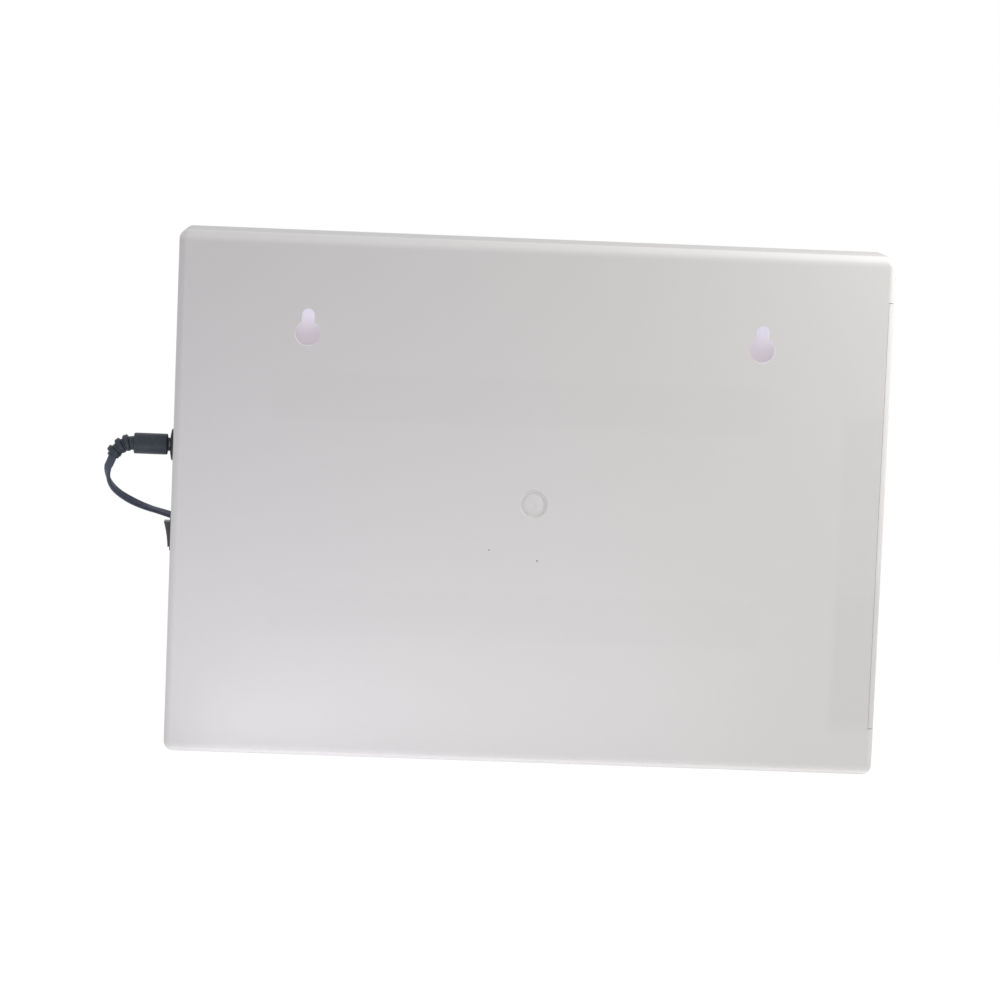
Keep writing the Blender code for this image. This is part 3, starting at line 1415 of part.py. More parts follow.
def lead_route():
    """The lead from the relief's end, by its chosen places, to where it joins the coil on the table."""
    end, heading = relief_station(1, 0)
    meet = Vector(coil_places()[0]) - Vector((GAP, 0, 0))
    return run_between(
        end + heading * GAP, heading, LEAD_ROUTE, meet, (1, 0, 0), LEAD_DIAMETER, LEAD_SPACING
    )


def coil_level(turn):
    """Height on the coil: the lower layer, a smooth climb in the middle half turn, then the upper layer."""
    share = min(max((turn - (COIL_TURNS - 0.5) / 2) * 2, 0), 1)
    share = share * share * (3 - 2 * share)
    return COIL_LOW_Z + (COIL_HIGH_Z - COIL_LOW_Z) * share


def coil_places():
    """The coil's unbroken line: in along the lower layer, up, and out along the upper one."""
    steps = round(COIL_TURNS * COIL_LOOP_POINTS)
    places = []
    for step in range(steps + 1):
        turn = step / COIL_LOOP_POINTS
        radius = COIL_RADIUS - COIL_TURN_PITCH * min(turn, COIL_TURNS - turn)
        angle = math.tau * turn - math.pi / 2
        places.append((COIL_X + radius * math.cos(angle), COIL_Y + radius * math.sin(angle), coil_level(turn)))
    first = Vector(places[0]) - Vector((LEAD_DIAMETER, 0, 0))
    last = Vector(places[-1]) - Vector((LEAD_DIAMETER, 0, 0))
    return [tuple(first), *places, tuple(last)]


def tail_places():
    """The last stretch, from the coil's upper layer down to the plug on the table."""
    start = Vector(coil_places()[-1]) - Vector((GAP, 0, 0))
    end = Vector((start.x - TAIL_LENGTH, start.y - TAIL_SHIFT, USB_Z))
    return run_between(start, (-1, 0, 0), (), end, (-1, 0, 0), LEAD_DIAMETER, LEAD_DIAMETER)


def length_of(places):
    corners = np.array([tuple(place) for place in places])
    return float(np.linalg.norm(np.diff(corners, axis=0), axis=1).sum())


def least_gap(places, diameter):
    """The least clear distance between stretches of a line that lie more than three diameters apart along it."""
    corners = np.array(places)
    spans = np.linalg.norm(np.diff(corners, axis=0), axis=1)
    knots = np.concatenate([[0], np.cumsum(spans)])
    stops = np.arange(0, knots[-1], diameter / 6)
    fine = np.stack([np.interp(stops, knots, corners[:, axis]) for axis in range(3)], axis=1)
    apart = np.abs(stops[:, None] - stops[None, :]) > 3 * diameter
    distances = np.linalg.norm(fine[:, None] - fine[None, :], axis=2)
    return float(distances[apart].min()) - diameter


def coil_tie():
    """The band around the coil's turns, on the side away from the lead's ends."""
    inner = COIL_RADIUS - COIL_TURN_PITCH * COIL_TURNS / 2 - LEAD_DIAMETER / 2 - TIE_SLACK
    outer = COIL_RADIUS + LEAD_DIAMETER / 2 + TIE_SLACK
    low = COIL_LOW_Z - LEAD_DIAMETER / 2 - TIE_SLACK
    high = COIL_HIGH_Z + LEAD_DIAMETER / 2 + TIE_SLACK
    centre = (COIL_X + (inner + outer) / 2, (low + high) / 2)

    def across(u, v, w):
        return (u, w, v)

    outside = rounded_rectangle(
        outer - inner + 2 * TIE_THICKNESS, high - low + 2 * TIE_THICKNESS, TIE_RADIUS + TIE_THICKNESS, centre
    )
    inside = rounded_rectangle(outer - inner, high - low, TIE_RADIUS, centre)
    start = COIL_Y - TIE_WIDTH / 2
    end = COIL_Y + TIE_WIDTH / 2
    tie = extrusion("coil_tie", outside, across, start, end, dark_pvc("coil_tie_pvc"))
    cut(tie, extrusion("tie_inside", inside, across, start - OVERRUN, end + OVERRUN))
    return tie


def usb_overmould(tip, material):
    """The grip of the plug on the far end, with a tapered neck towards the lead."""
    neck_end = tip.x - GAP - USB_NECK_LENGTH
    face = neck_end - USB_BODY_LENGTH
    half_width = USB_BODY_WIDTH / 2
    half_height = USB_BODY_HEIGHT / 2
    bm = bmesh.new()
    add_block(bm, (face, tip.y - half_width, tip.z - half_height), (neck_end, tip.y + half_width, tip.z + half_height))
    bmesh.ops.bevel(
        bm,
        geom=bm.edges[:],
        offset=USB_BODY_EDGE,
        offset_type="OFFSET",
        segments=2,
        profile=0.5,
        affect="EDGES",
        material=-1,
    )
    body = object_from(bm, "usb_overmould", material)
    profile = [
        (0, 0),
        (USB_NECK_TIP_RADIUS, 0),
        (USB_NECK_RADIUS, USB_NECK_LENGTH),
        (USB_NECK_RADIUS, USB_NECK_LENGTH + OVERRUN / 4),
        (0, USB_NECK_LENGTH + OVERRUN / 4),
    ]
    neck = turned("usb_neck", profile, (tip.x - GAP, tip.y, tip.z), (-1, 0, 0), SMALL_SIDES)
    socket = block(
        "usb_socket",
        (
            face - OVERRUN,
            tip.y - USB_SHELL_WIDTH / 2 - GAP,
            tip.z - USB_SHELL_HEIGHT / 2 - GAP,
        ),
        (
            face + USB_SHELL_ROOT + GAP,
            tip.y + USB_SHELL_WIDTH / 2 + GAP,
            tip.z + USB_SHELL_HEIGHT / 2 + GAP,
        ),
    )
    join(body, neck)
    cut(body, socket)
    return body


def usb_shell(tip):
    """The plug's metal shell, open at its front, with two square windows in its upper side."""
    root = tip.x - GAP - USB_NECK_LENGTH - USB_BODY_LENGTH + USB_SHELL_ROOT
    front = root - USB_SHELL_ROOT - USB_SHELL_LENGTH
    half_width = USB_SHELL_WIDTH / 2
    half_height = USB_SHELL_HEIGHT / 2
    shell = block(
        "usb_shell",
        (front, tip.y - half_width, tip.z - half_height),
        (root, tip.y + half_width, tip.z + half_height),
        nickel("usb_shell_nickel"),
    )
    inner_width = half_width - USB_SHELL_WALL
    inner_height = half_height - USB_SHELL_WALL
    windows = []
    for side in (-1, 1):
        y = tip.y + side * USB_WINDOW_SPREAD / 2
        x = front + USB_WINDOW_INSET
        low = (x, y - USB_WINDOW_WIDTH / 2, tip.z)
        windows.append((low, (x + USB_WINDOW_LENGTH, y + USB_WINDOW_WIDTH / 2, tip.z + half_height + OVERRUN)))
    cut(
        shell,
        block(
            "shell_bore",
            (front - OVERRUN, tip.y - inner_width, tip.z - inner_height),
            (root - USB_SHELL_WALL, tip.y + inner_width, tip.z + inner_height),
        ),
        blocks("shell_windows", windows),
    )
    tongue = block(
        "usb_tongue",
        (front + USB_SHELL_WALL, tip.y - USB_TONGUE_WIDTH / 2, tip.z - inner_height + GAP),
        (
            root - USB_SHELL_WALL - GAP,
            tip.y + USB_TONGUE_WIDTH / 2,
            tip.z - inner_height + GAP + USB_TONGUE_THICKNESS,
        ),
        white_plastic("usb_tongue_white"),
    )
    return shell, tongue


def lead_and_plugs():
    """Everything that pulls out with the plug."""
    axis = joint_empty("plug_axis", (JACK_CROWN_X, JACK_Y, JACK_Z))
    run = lead_route()
    coil = coil_places()
    tail = tail_places()
    tip = Vector(tail[-1])
    gap = least_gap(coil, LEAD_DIAMETER)
    total = length_of(run) + length_of(coil) + length_of(tail)
    print(f"coil: least gap to itself {gap * 1000:.2f} mm, wanted over {COIL_LEAST_GAP * 1000:.2f} mm")
    print(f"lead: {total:.4f} m, of which {length_of(coil):.4f} m is coiled")
    pieces = [
        plug_sleeve(),
        plug_body(),
        tube("lead_cord", run, LEAD_DIAMETER, 2, dark_pvc("lead_cord_pvc")),
        tube("lead_coil", coil, LEAD_DIAMETER, 1, dark_pvc("lead_coil_pvc")),
        tube("lead_tail", tail, LEAD_DIAMETER, 2, dark_pvc("lead_tail_pvc")),
        coil_tie(),
        usb_overmould(tip, dark_pvc("usb_overmould_pvc")),
        *usb_shell(tip),
    ]
    for piece in pieces:
        piece.parent = axis
        piece.matrix_parent_inverse = Matrix.Translation(-axis.location)


def main():
    clear_scene()
    rear_housing()
    front_frame()
    diffuser_panel()
    letter_rails()
    led_strips()
    contact_positive()
    contact_negative()
    battery_springs()
    jack_body()
    jack_nut()
    jack_contacts()
    switch_housing()
    switch_tags()
    switch_rocker()
    battery_wires()
    lamp_wires()
    strip_wires()
    cover = battery_cover()
    slide = joint_empty("cover_slide", (SEAT_X, BAY_MID_Y, MID_Z))
    cover.parent = slide
    cover.matrix_parent_inverse = Matrix.Translation(-slide.location)
    lead_and_plugs()


main()
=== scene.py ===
"""Dresses an A4 cinema light box, seen from behind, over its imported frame.

The box stands on its long edge with its back to the camera. Sizes and places are in metres, in the
frame's own space: X runs along the box, Y from its back to its letter panel, and Z up from the table.
"""

import logging
import math
from collections.abc import Callable, Iterable, Mapping, Sequence
from dataclasses import dataclass
from enum import Enum

import bmesh
import bpy
import numpy as np
from mathutils import Matrix, Quaternion, Vector


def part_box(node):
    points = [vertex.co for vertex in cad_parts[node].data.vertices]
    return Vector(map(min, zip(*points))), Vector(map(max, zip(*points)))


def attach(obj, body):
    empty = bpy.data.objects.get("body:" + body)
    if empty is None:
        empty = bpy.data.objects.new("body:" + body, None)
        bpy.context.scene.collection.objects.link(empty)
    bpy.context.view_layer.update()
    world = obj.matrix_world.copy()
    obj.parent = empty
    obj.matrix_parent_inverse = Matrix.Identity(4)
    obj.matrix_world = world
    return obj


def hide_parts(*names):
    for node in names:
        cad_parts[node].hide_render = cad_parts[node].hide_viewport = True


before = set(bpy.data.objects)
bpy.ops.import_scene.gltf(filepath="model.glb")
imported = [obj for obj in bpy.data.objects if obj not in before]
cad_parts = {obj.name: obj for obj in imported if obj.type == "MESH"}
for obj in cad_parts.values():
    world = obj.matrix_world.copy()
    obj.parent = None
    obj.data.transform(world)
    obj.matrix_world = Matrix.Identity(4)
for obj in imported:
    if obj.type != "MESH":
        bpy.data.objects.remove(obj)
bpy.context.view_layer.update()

log = logging.getLogger("light_box")

Triple = tuple[float, float, float]
Colour = tuple[float, float, float]
Place = Triple | Vector

TINY = 0.000001
NEAR = 10 * TINY
SQUARE_ON = 0.9
CURVE_STEPS = 32
SHARP_ANGLE = math.radians(36)


class Body(Enum):
    """The frame's bodies, on which the pieces ride."""

    CASE = "case"
    ROCKER = "rocker"
    COVER = "cover"
    LEAD = "lead"


class Operation(Enum):
    """What one solid does to another."""

    JOIN = "UNION"
    CUT = "DIFFERENCE"
    KEEP = "INTERSECT"


class Axis(Enum):
    """An axis of the frame's space, by its index in a vector."""

    X = 0
    Y = 1
    Z = 2


# Shading


class Signal:
    """A shader socket that takes part in arithmetic and adds Math nodes as it does."""

    def __init__(self, bench: "ShaderBench", socket: bpy.types.NodeSocket) -> None:
        """Keeps the socket and the bench that its tree is on."""
        self.bench = bench
        self.socket = socket

    def _with(self, operation: str, *values: "Signal | float") -> "Signal":
        """Adds one Math node and returns its result."""
        return self.bench.add("ShaderNodeMath", {"operation": operation}, dict(enumerate(values)))

    def __add__(self, other: "Signal | float") -> "Signal":
        """The sum with another value."""
        return self._with("ADD", self, other)

    def __sub__(self, other: "Signal | float") -> "Signal":
        """The difference from another value."""
        return self._with("SUBTRACT", self, other)

    def __rsub__(self, other: "Signal | float") -> "Signal":
        """Another value less this one."""
        return self._with("SUBTRACT", other, self)

    def __mul__(self, other: "Signal | float") -> "Signal":
        """The product with another value."""
        return self._with("MULTIPLY", self, other)

    def __pow__(self, other: "Signal | float") -> "Signal":
        """This value to a power."""
        return self._with("POWER", self, other)

    def __abs__(self) -> "Signal":
        """The value without its sign."""
        return self._with("ABSOLUTE", self)

    __radd__ = __add__

    def wrapped(self, pitch: float) -> "Signal":
        """The distance from the nearest multiple of the pitch."""
        return self._with("PINGPONG", self, pitch / 2)

    def most(self, other: "Signal | float") -> "Signal":
        """The larger of this value and another."""
        return self._with("MAXIMUM", self, other)

    def least(self, other: "Signal | float") -> "Signal":
        """The smaller of this value and another."""
        return self._with("MINIMUM", self, other)


class ShaderBench:
    """One node tree, with the few ways that this object's finishes add nodes to it."""

    def __init__(self, tree: bpy.types.NodeTree) -> None:
        """Takes over the tree of a material or of the world."""
        self.tree = tree

    def add(
        self,
        kind: str,
        settings: Mapping[str, object] | None = None,
        inputs: Mapping[str | int, object] | None = None,
        output: str | int = 0,
    ) -> Signal:
        """Adds any node.

        Args:
            kind: The node's type.
            settings: Its own settings, which are set before its sockets. The stops of a ramp are
                pairs of a place and a colour.
            inputs: Values or links by the name or the index of a socket.
            output: The socket that is handed back.

        Returns:
            The chosen output.
        """
        node = self.tree.nodes.new(kind)
        for key, value in (settings or {}).items():
            if key == "stops":
                self._set_stops(node.color_ramp, value)
            else:
                setattr(node, key, value)
        for key, value in (inputs or {}).items():
            self.feed(node.inputs[key], value)
        return Signal(self, node.outputs[output])

    def _set_stops(self, ramp: bpy.types.ColorRamp, stops: Sequence[tuple[float, Colour]]) -> None:
        """Gives a ramp its stops, of which it has two from the start."""
        while len(ramp.elements) < len(stops):
            ramp.elements.new(1.0)
        for element, (place, colour) in zip(ramp.elements, stops):
            element.position = place
            element.color = (*colour, 1.0)

    def feed(self, socket: bpy.types.NodeSocket, value: object) -> None:
        """Links a signal to a socket, or sets the socket to a plain value."""
        if isinstance(value, Signal):
            self.tree.links.new(value.socket, socket)
        elif isinstance(value, tuple) and socket.type == "RGBA":
            socket.default_value = (*value, 1.0)
        else:
            socket.default_value = value

    def place(self) -> Signal:
        """The object coordinates of the shaded point."""
        return self.add("ShaderNodeTexCoord", output="Object")

    def parts(self, vector: Signal) -> tuple[Signal, Signal, Signal]:
        """The X, Y and Z of a vector."""
        node = self.tree.nodes.new("ShaderNodeSeparateXYZ")
        self.tree.links.new(vector.socket, node.inputs[0])
        return tuple(Signal(self, output) for output in node.outputs)

    def stretched(self, vector: Signal, scale: Triple, turn: Triple = (0.0, 0.0, 0.0)) -> Signal:
        """The vector scaled, and turned, by a Mapping node."""
        return self.add("ShaderNodeMapping", {}, {"Vector": vector, "Rotation": turn, "Scale": scale})

    def noise(self, vector: Signal, scale: float, detail: float = 2.0, rough: float = 0.5) -> Signal:
        """Smooth noise from 0 to 1, with so many features to the metre."""
        inputs = {"Vector": vector, "Scale": scale, "Detail": detail, "Roughness": rough}
        return self.add("ShaderNodeTexNoise", {"noise_dimensions": "3D"}, inputs, "Fac")

    def step(self, value: Signal, low: float, high: float) -> Signal:
        """A smooth climb from 0 at the low value to 1 at the high one, which may lie below it."""
        inputs = {"Value": value, "From Min": low, "From Max": high}
        return self.add("ShaderNodeMapRange", {"interpolation_type": "SMOOTHSTEP", "clamp": True}, inputs)

    def span(self, value: Signal, low: float, high: float) -> Signal:
        """Noise or a mask stretched from 0 and 1 to the low and the high value."""
        return value * (high - low) + low

    def blend(self, mask: Signal | float, first: Signal | Colour, second: Signal | Colour) -> Signal:
        """The first colour where the mask is 0, and the second where it is 1."""
        return self._mix("MIX", mask, first, second)

    def tinted(self, colour: Signal | Colour, value: Signal) -> Signal:
        """The colour multiplied by a number at each point."""
        grey = self.add("ShaderNodeCombineColor", {"mode": "RGB"}, {0: value, 1: value, 2: value})
        return self._mix("MULTIPLY", 1.0, colour, grey)

    def _mix(self, way: str, mask: Signal | float, first: Signal | Colour, second: Signal | Colour) -> Signal:
        """Adds a Mix node for colours."""
        settings = {"data_type": "RGBA", "blend_type": way}
        return self.add("ShaderNodeMix", settings, {0: mask, 6: first, 7: second}, 2)

    def ripple(self, height: Signal, depth: float, strength: float, under: Signal | None = None) -> Signal:
        """A Bump node.

        Args:
            height: The relief, from 0 to 1.
            depth: How deep the relief is where it goes from 0 to 1.
            strength: How much of it shows.
            under: The normal of a coarser relief that this one lies on.

        Returns:
            The normal.
        """
        inputs = {"Height": height, "Distance": depth, "Strength": strength}
        if under is not None:
            inputs["Normal"] = under
        return self.add("ShaderNodeBump", {}, inputs)

    def disc(self, across: Signal, up: Signal, centre: tuple[float, float], radius: float, soft: float) -> Signal:
        """A round spot's mask: 1 inside, 0 past its soft edge."""
        distance = ((across - centre[0]) ** 2 + (up - centre[1]) ** 2) ** 0.5
        return self.step(distance, radius + soft, radius)

    def field(self, value: Signal, low: float, high: float, soft: float) -> Signal:
        """A band's mask: 1 between the two values, with soft edges outside them."""
        return self.step(value, low - soft, low) * self.step(value, high + soft, high)


@dataclass(frozen=True)
class Finish:
    """What every finish has: its name, and the way that it becomes a material."""

    name: str

    def material(self) -> bpy.types.Material:
        """Makes the material on first use, and hands the same one back after that.

        Returns:
            The material of this finish.
        """
        found = bpy.data.materials.get(self.name)
        if found is not None:
            return found
        made = bpy.data.materials.new(self.name)
        made.use_nodes = True
        bench = ShaderBench(made.node_tree)
        sockets = made.node_tree.nodes["Principled BSDF"].inputs
        for key, value in self.paint(bench).items():
            bench.feed(sockets[key], value)
        return made

    def paint(self, bench: ShaderBench) -> dict[str, object]:
        """What goes into the shader's sockets, by their names."""
        raise NotImplementedError


@dataclass(frozen=True)
class ShadeBand:
    """A band of painted shade on the case's back: a stretch of it a little darker, over what lies behind it or low
    down where the light falls off.
    """

    low_x: float
    high_x: float
    low_z: float
    high_z: float
    soft: float
    depth: float


@dataclass(frozen=True)
class MouldedAbs(Finish):
    """White ABS from a polished mould: even, half glossy, with a faint grain and a cloud of flow marks."""

    colour: Colour = (0.753, 0.737, 0.753)
    # Painted light tint: the colour turns warmer towards the right and top, where the warmer lamp light falls.
    lit_warm_tint: Colour = (0.758, 0.744, 0.733)
    lit_warm_span: tuple[float, float] = (-0.12, 0.20)
    roughness: float = 0.50
    cloud: float = 0.012
    grain_per_metre: float = 5200.0
    grain_depth: float = 0.000004
    # Bands of painted shade on the back.
    shade_bands: tuple[ShadeBand, ...] = ()
    back_y: float = -0.0185
    back_soft: float = 0.0004
    pocket_soft: float = 0.0001
    pocket_soft_y: float = 0.00004
    pocket_x: tuple[float, float] = (-0.110, 0.110)
    pocket_y: tuple[float, float] = (-0.02094, -0.0133)
    pocket_z: tuple[float, float] = (0.1710, 0.1912)
    pocket_shade_z: tuple[float, float] = (0.1772, 0.1882)
    # Painted light in the keyholes: a brighter colour, a glow that is dimmer low down, and a highlight on the rims.
    pocket_painted_colour: Colour = (0.90, 0.89, 0.92)
    pocket_painted_glow: Colour = (0.142, 0.138, 0.166)
    pocket_low_painted_glow: Colour = (0.066, 0.050, 0.052)
    rim_y: tuple[float, float] = (-0.0200, -0.0206)
    rim_painted_highlight: Colour = (0.36, 0.36, 0.38)
    round_y: tuple[float, float] = (-0.0172, -0.0186)
    # Painted light on the top rounded edge, and painted shade on the top face.
    top_round_z: tuple[float, float] = (0.2148, 0.2182)
    top_round_painted_light: float = 0.19
    top_face_z: float = 0.21985
    top_face_soft: float = 0.0001
    top_face_painted_shade: float = 0.10
    # Painted light and a painted glow on the bottom rounded edge, for the light from the table.
    foot_z: tuple[float, float] = (0.0044, 0.0003)
    foot_painted_light: float = 0.27
    foot_painted_glow_z: tuple[float, float] = (0.0030, 0.0002)
    foot_painted_glow: Colour = (0.16, 0.16, 0.16)
    specks: tuple[Triple, ...] = ()
    speck_soft_share: float = 0.8
    speck_depth: float = 0.55
    wave_depth: float = 0.00004

    def paint(self, bench: ShaderBench) -> dict[str, object]:
        """Colour, light and relief of the moulding.

        The colour has soft clouds, a painted light tint that turns warmer towards the right and top, faint bands of
        painted shade over what lies behind the back and low down where the light falls off, painted light on the
        top and bottom rounded edges, painted shade on the top face, and specks. The keyholes' pockets have a
        brighter painted colour, a painted glow that stands in for light coming through their walls and a painted
        highlight on their rims; the foot has a painted glow for the light from the table. The gloss and the relief
        have grain.
        """
        place = bench.place()
        x, y, z = bench.parts(place)
        cloud = bench.noise(place, 9.0, detail=3.0)
        # Painted light tint: warmer towards the right and top.
        colour = bench.blend(bench.step(x + z * 0.5, *self.lit_warm_span), self.colour, self.lit_warm_tint)
        level = bench.span(cloud, 1.0 - self.cloud, 1.0 + self.cloud)
        on_back = bench.step(y, self.back_y + self.back_soft, self.back_y - self.back_soft)
        # Painted shade bands over what lies behind the back.
        for shade_band in self.shade_bands:
            across = bench.field(x, shade_band.low_x, shade_band.high_x, shade_band.soft)
            up = bench.field(z, shade_band.low_z, shade_band.high_z, shade_band.soft)
            level = level * (1.0 - across * up * on_back * shade_band.depth)
        for speck_x, speck_z, radius in self.specks:
            spot = bench.disc(x, z, (speck_x, speck_z), radius, radius * self.speck_soft_share)
            level = level * (1.0 - spot * on_back * self.speck_depth)
        # Painted light on the top and bottom rounded edges, and painted shade on the top face.
        rounded = bench.step(y, *self.round_y)
        level = level * (rounded * bench.step(z, *self.top_round_z) * self.top_round_painted_light + 1.0)
        level = level * (rounded * bench.step(z, *self.foot_z) * self.foot_painted_light + 1.0)
        on_top = bench.step(z, self.top_face_z - self.top_face_soft, self.top_face_z) * (1.0 - rounded)
        level = level * (1.0 - on_top * self.top_face_painted_shade)
        colour = bench.tinted(colour, level)
        # Painted light in the keyhole pockets: a brighter colour, and a glow dimmer low down with a highlight at
        # the rims.
        in_pocket = bench.field(y, *self.pocket_y, self.pocket_soft_y)
        in_pocket = in_pocket * bench.field(z, *self.pocket_z, self.pocket_soft)
        in_pocket = in_pocket * bench.field(x, *self.pocket_x, self.pocket_soft)
        colour = bench.blend(in_pocket, colour, self.pocket_painted_colour)
        low = bench.step(z, self.pocket_shade_z[1], self.pocket_shade_z[0])
        painted_pocket_glow = bench.blend(low, self.pocket_painted_glow, self.pocket_low_painted_glow)
        painted_pocket_glow = bench.blend(bench.step(y, *self.rim_y), painted_pocket_glow, self.rim_painted_highlight)
        grain = bench.noise(place, self.grain_per_metre, detail=1.0)
        wave = bench.noise(place, 42.0, detail=1.0)
        normal = bench.ripple(wave, self.wave_depth, strength=0.35)
        drawn = bench.stretched(place, scale=(1.0, 1.0, 5.0), turn=(0.0, 0.5, 0.0))
        scuffs = bench.noise(drawn, 160.0, detail=4.0, rough=0.7)
        gloss = bench.span(cloud, self.roughness - 0.03, self.roughness + 0.03)
        return {
            "Base Color": colour,
            "Roughness": gloss + bench.step(scuffs, 0.62, 0.80) * 0.10,
            "Normal": bench.ripple(grain, self.grain_depth, strength=0.5, under=normal),
            "IOR": 1.53,
            # Painted glow of the foot and the keyhole pockets.
            "Emission Color": bench.blend(
                rounded * bench.step(z, *self.foot_painted_glow_z), bench.tinted(painted_pocket_glow, in_pocket), self.foot_painted_glow
            ),
            "Emission Strength": 1.0,
        }


@dataclass(frozen=True)
class BlackNylon(Finish):
    """Black glass-filled nylon: satin, with a fine spark-eroded grain and a little dust."""

    colour: Colour = (0.010, 0.012, 0.016)
    dust: Colour = (0.060, 0.064, 0.070)
    roughness: float = 0.40
    grain_per_metre: float = 4200.0
    grain_depth: float = 0.000012

    def paint(self, bench: ShaderBench) -> dict[str, object]:
        """A near black with dust in patches, over fine grain."""
        place = bench.place()
        patches = bench.noise(place, 700.0, detail=3.0, rough=0.6)
        grain = bench.noise(place, self.grain_per_metre, detail=1.0)
        return {
            "Base Color": bench.blend(bench.step(patches, 0.45, 0.85) * 0.5, self.colour, self.dust),
            "Roughness": bench.span(grain, self.roughness - 0.05, self.roughness + 0.09),
            "Normal": bench.ripple(grain, self.grain_depth, strength=0.5),
            "Specular IOR Level": 0.42,
        }


@dataclass(frozen=True)
class FlexiblePvc(Finish):
    """Blue-black flexible PVC: soft sheen, a little cloudy, with a fine uneven skin."""

    colour: Colour = (0.019, 0.030, 0.047)
    worn: Colour = (0.042, 0.058, 0.080)
    roughness: float = 0.44
    skin_depth: float = 0.000018

    def paint(self, bench: ShaderBench) -> dict[str, object]:
        """Slate with lighter rubbed clouds and a soft orange-peel skin."""
        place = bench.place()
        cloud = bench.noise(place, 260.0, detail=4.0, rough=0.6)
        skin = bench.noise(place, 2600.0)
        rubbed = bench.step(cloud, 0.40, 0.78)
        return {
            "Base Color": bench.blend(rubbed * 0.6, self.colour, self.worn),
            "Roughness": bench.span(skin, self.roughness - 0.06, self.roughness + 0.08),
            "Normal": bench.ripple(skin, self.skin_depth, strength=0.6),
            "Specular IOR Level": 0.45,
        }


@dataclass(frozen=True)
class PlatedMetal(Finish):
    """Plated or bare metal: drawn along one axis, with cloudy tarnish."""

    colour: Colour = (0.66, 0.65, 0.62)
    tarnish: Colour = (0.50, 0.48, 0.44)
    roughness: float = 0.24
    drawn: Triple = (1.0, 12.0, 12.0)
    line_depth: float = 0.000006

    def paint(self, bench: ShaderBench) -> dict[str, object]:
        """Drawing lines in the gloss and the relief, tarnish in the colour."""
        place = bench.place()
        lines = bench.noise(bench.stretched(place, self.drawn), 900.0, detail=3.0, rough=0.6)
        cloud = bench.noise(place, 420.0, detail=3.0)
        return {
            "Base Color": bench.blend(bench.step(cloud, 0.42, 0.80) * 0.6, self.colour, self.tarnish),
            "Metallic": 1.0,
            "Roughness": bench.span(lines, self.roughness - 0.06, self.roughness + 0.14),
            "Normal": bench.ripple(lines, self.line_depth, strength=0.5),
        }


BRIGHT_BRASS = PlatedMetal("bright_brass", colour=(0.72, 0.56, 0.28), tarnish=(0.48, 0.33, 0.14), roughness=0.28)


@dataclass(frozen=True)
class MilkySheet(Finish):
    """Opal acrylic sheet: even milky white, glossy, with the faintest sawn waviness."""

    colour: Colour = (0.83, 0.83, 0.81)
    thin: Colour = (0.79, 0.79, 0.78)
    roughness: float = 0.22
    wave_depth: float = 0.00003

    def paint(self, bench: ShaderBench) -> dict[str, object]:
        """A clean white, a trace darker in soft clouds, with hairlines in the gloss."""
        place = bench.place()
        cloud = bench.noise(place, 14.0, detail=3.0)
        drawn = bench.stretched(place, scale=(1.0, 1.0, 22.0), turn=(0.0, 0.3, 0.0))
        hair = bench.noise(drawn, 220.0, detail=3.0, rough=0.7)
        return {
            "Base Color": bench.blend(cloud, self.colour, self.thin),
            "Roughness": self.roughness + bench.step(hair, 0.64, 0.78) * 0.12,
            "Normal": bench.ripple(bench.noise(place, 30.0), self.wave_depth, strength=0.3),
            "IOR": 1.49,
        }


@dataclass(frozen=True)
class ClearStyrene(Finish):
    """Clear extruded styrene: transparent, with drawn lines along the rail."""

    colour: Colour = (0.93, 0.95, 0.96)
    edge: Colour = (0.86, 0.90, 0.92)
    roughness: float = 0.06
    line_depth: float = 0.000010

    def paint(self, bench: ShaderBench) -> dict[str, object]:
        """Nearly colourless, with die lines in the relief and fine haze in the gloss."""
        place = bench.place()
        lines = bench.noise(bench.stretched(place, scale=(0.02, 1.0, 1.0)), 2400.0)
        haze = bench.noise(place, 60.0, detail=3.0)
        return {
            "Base Color": bench.blend(haze, self.colour, self.edge),
            "Roughness": bench.span(haze, self.roughness, self.roughness + 0.08),
            "Transmission Weight": 0.85,
            "Normal": bench.ripple(lines, self.line_depth, strength=0.15),
            "IOR": 1.58,
        }


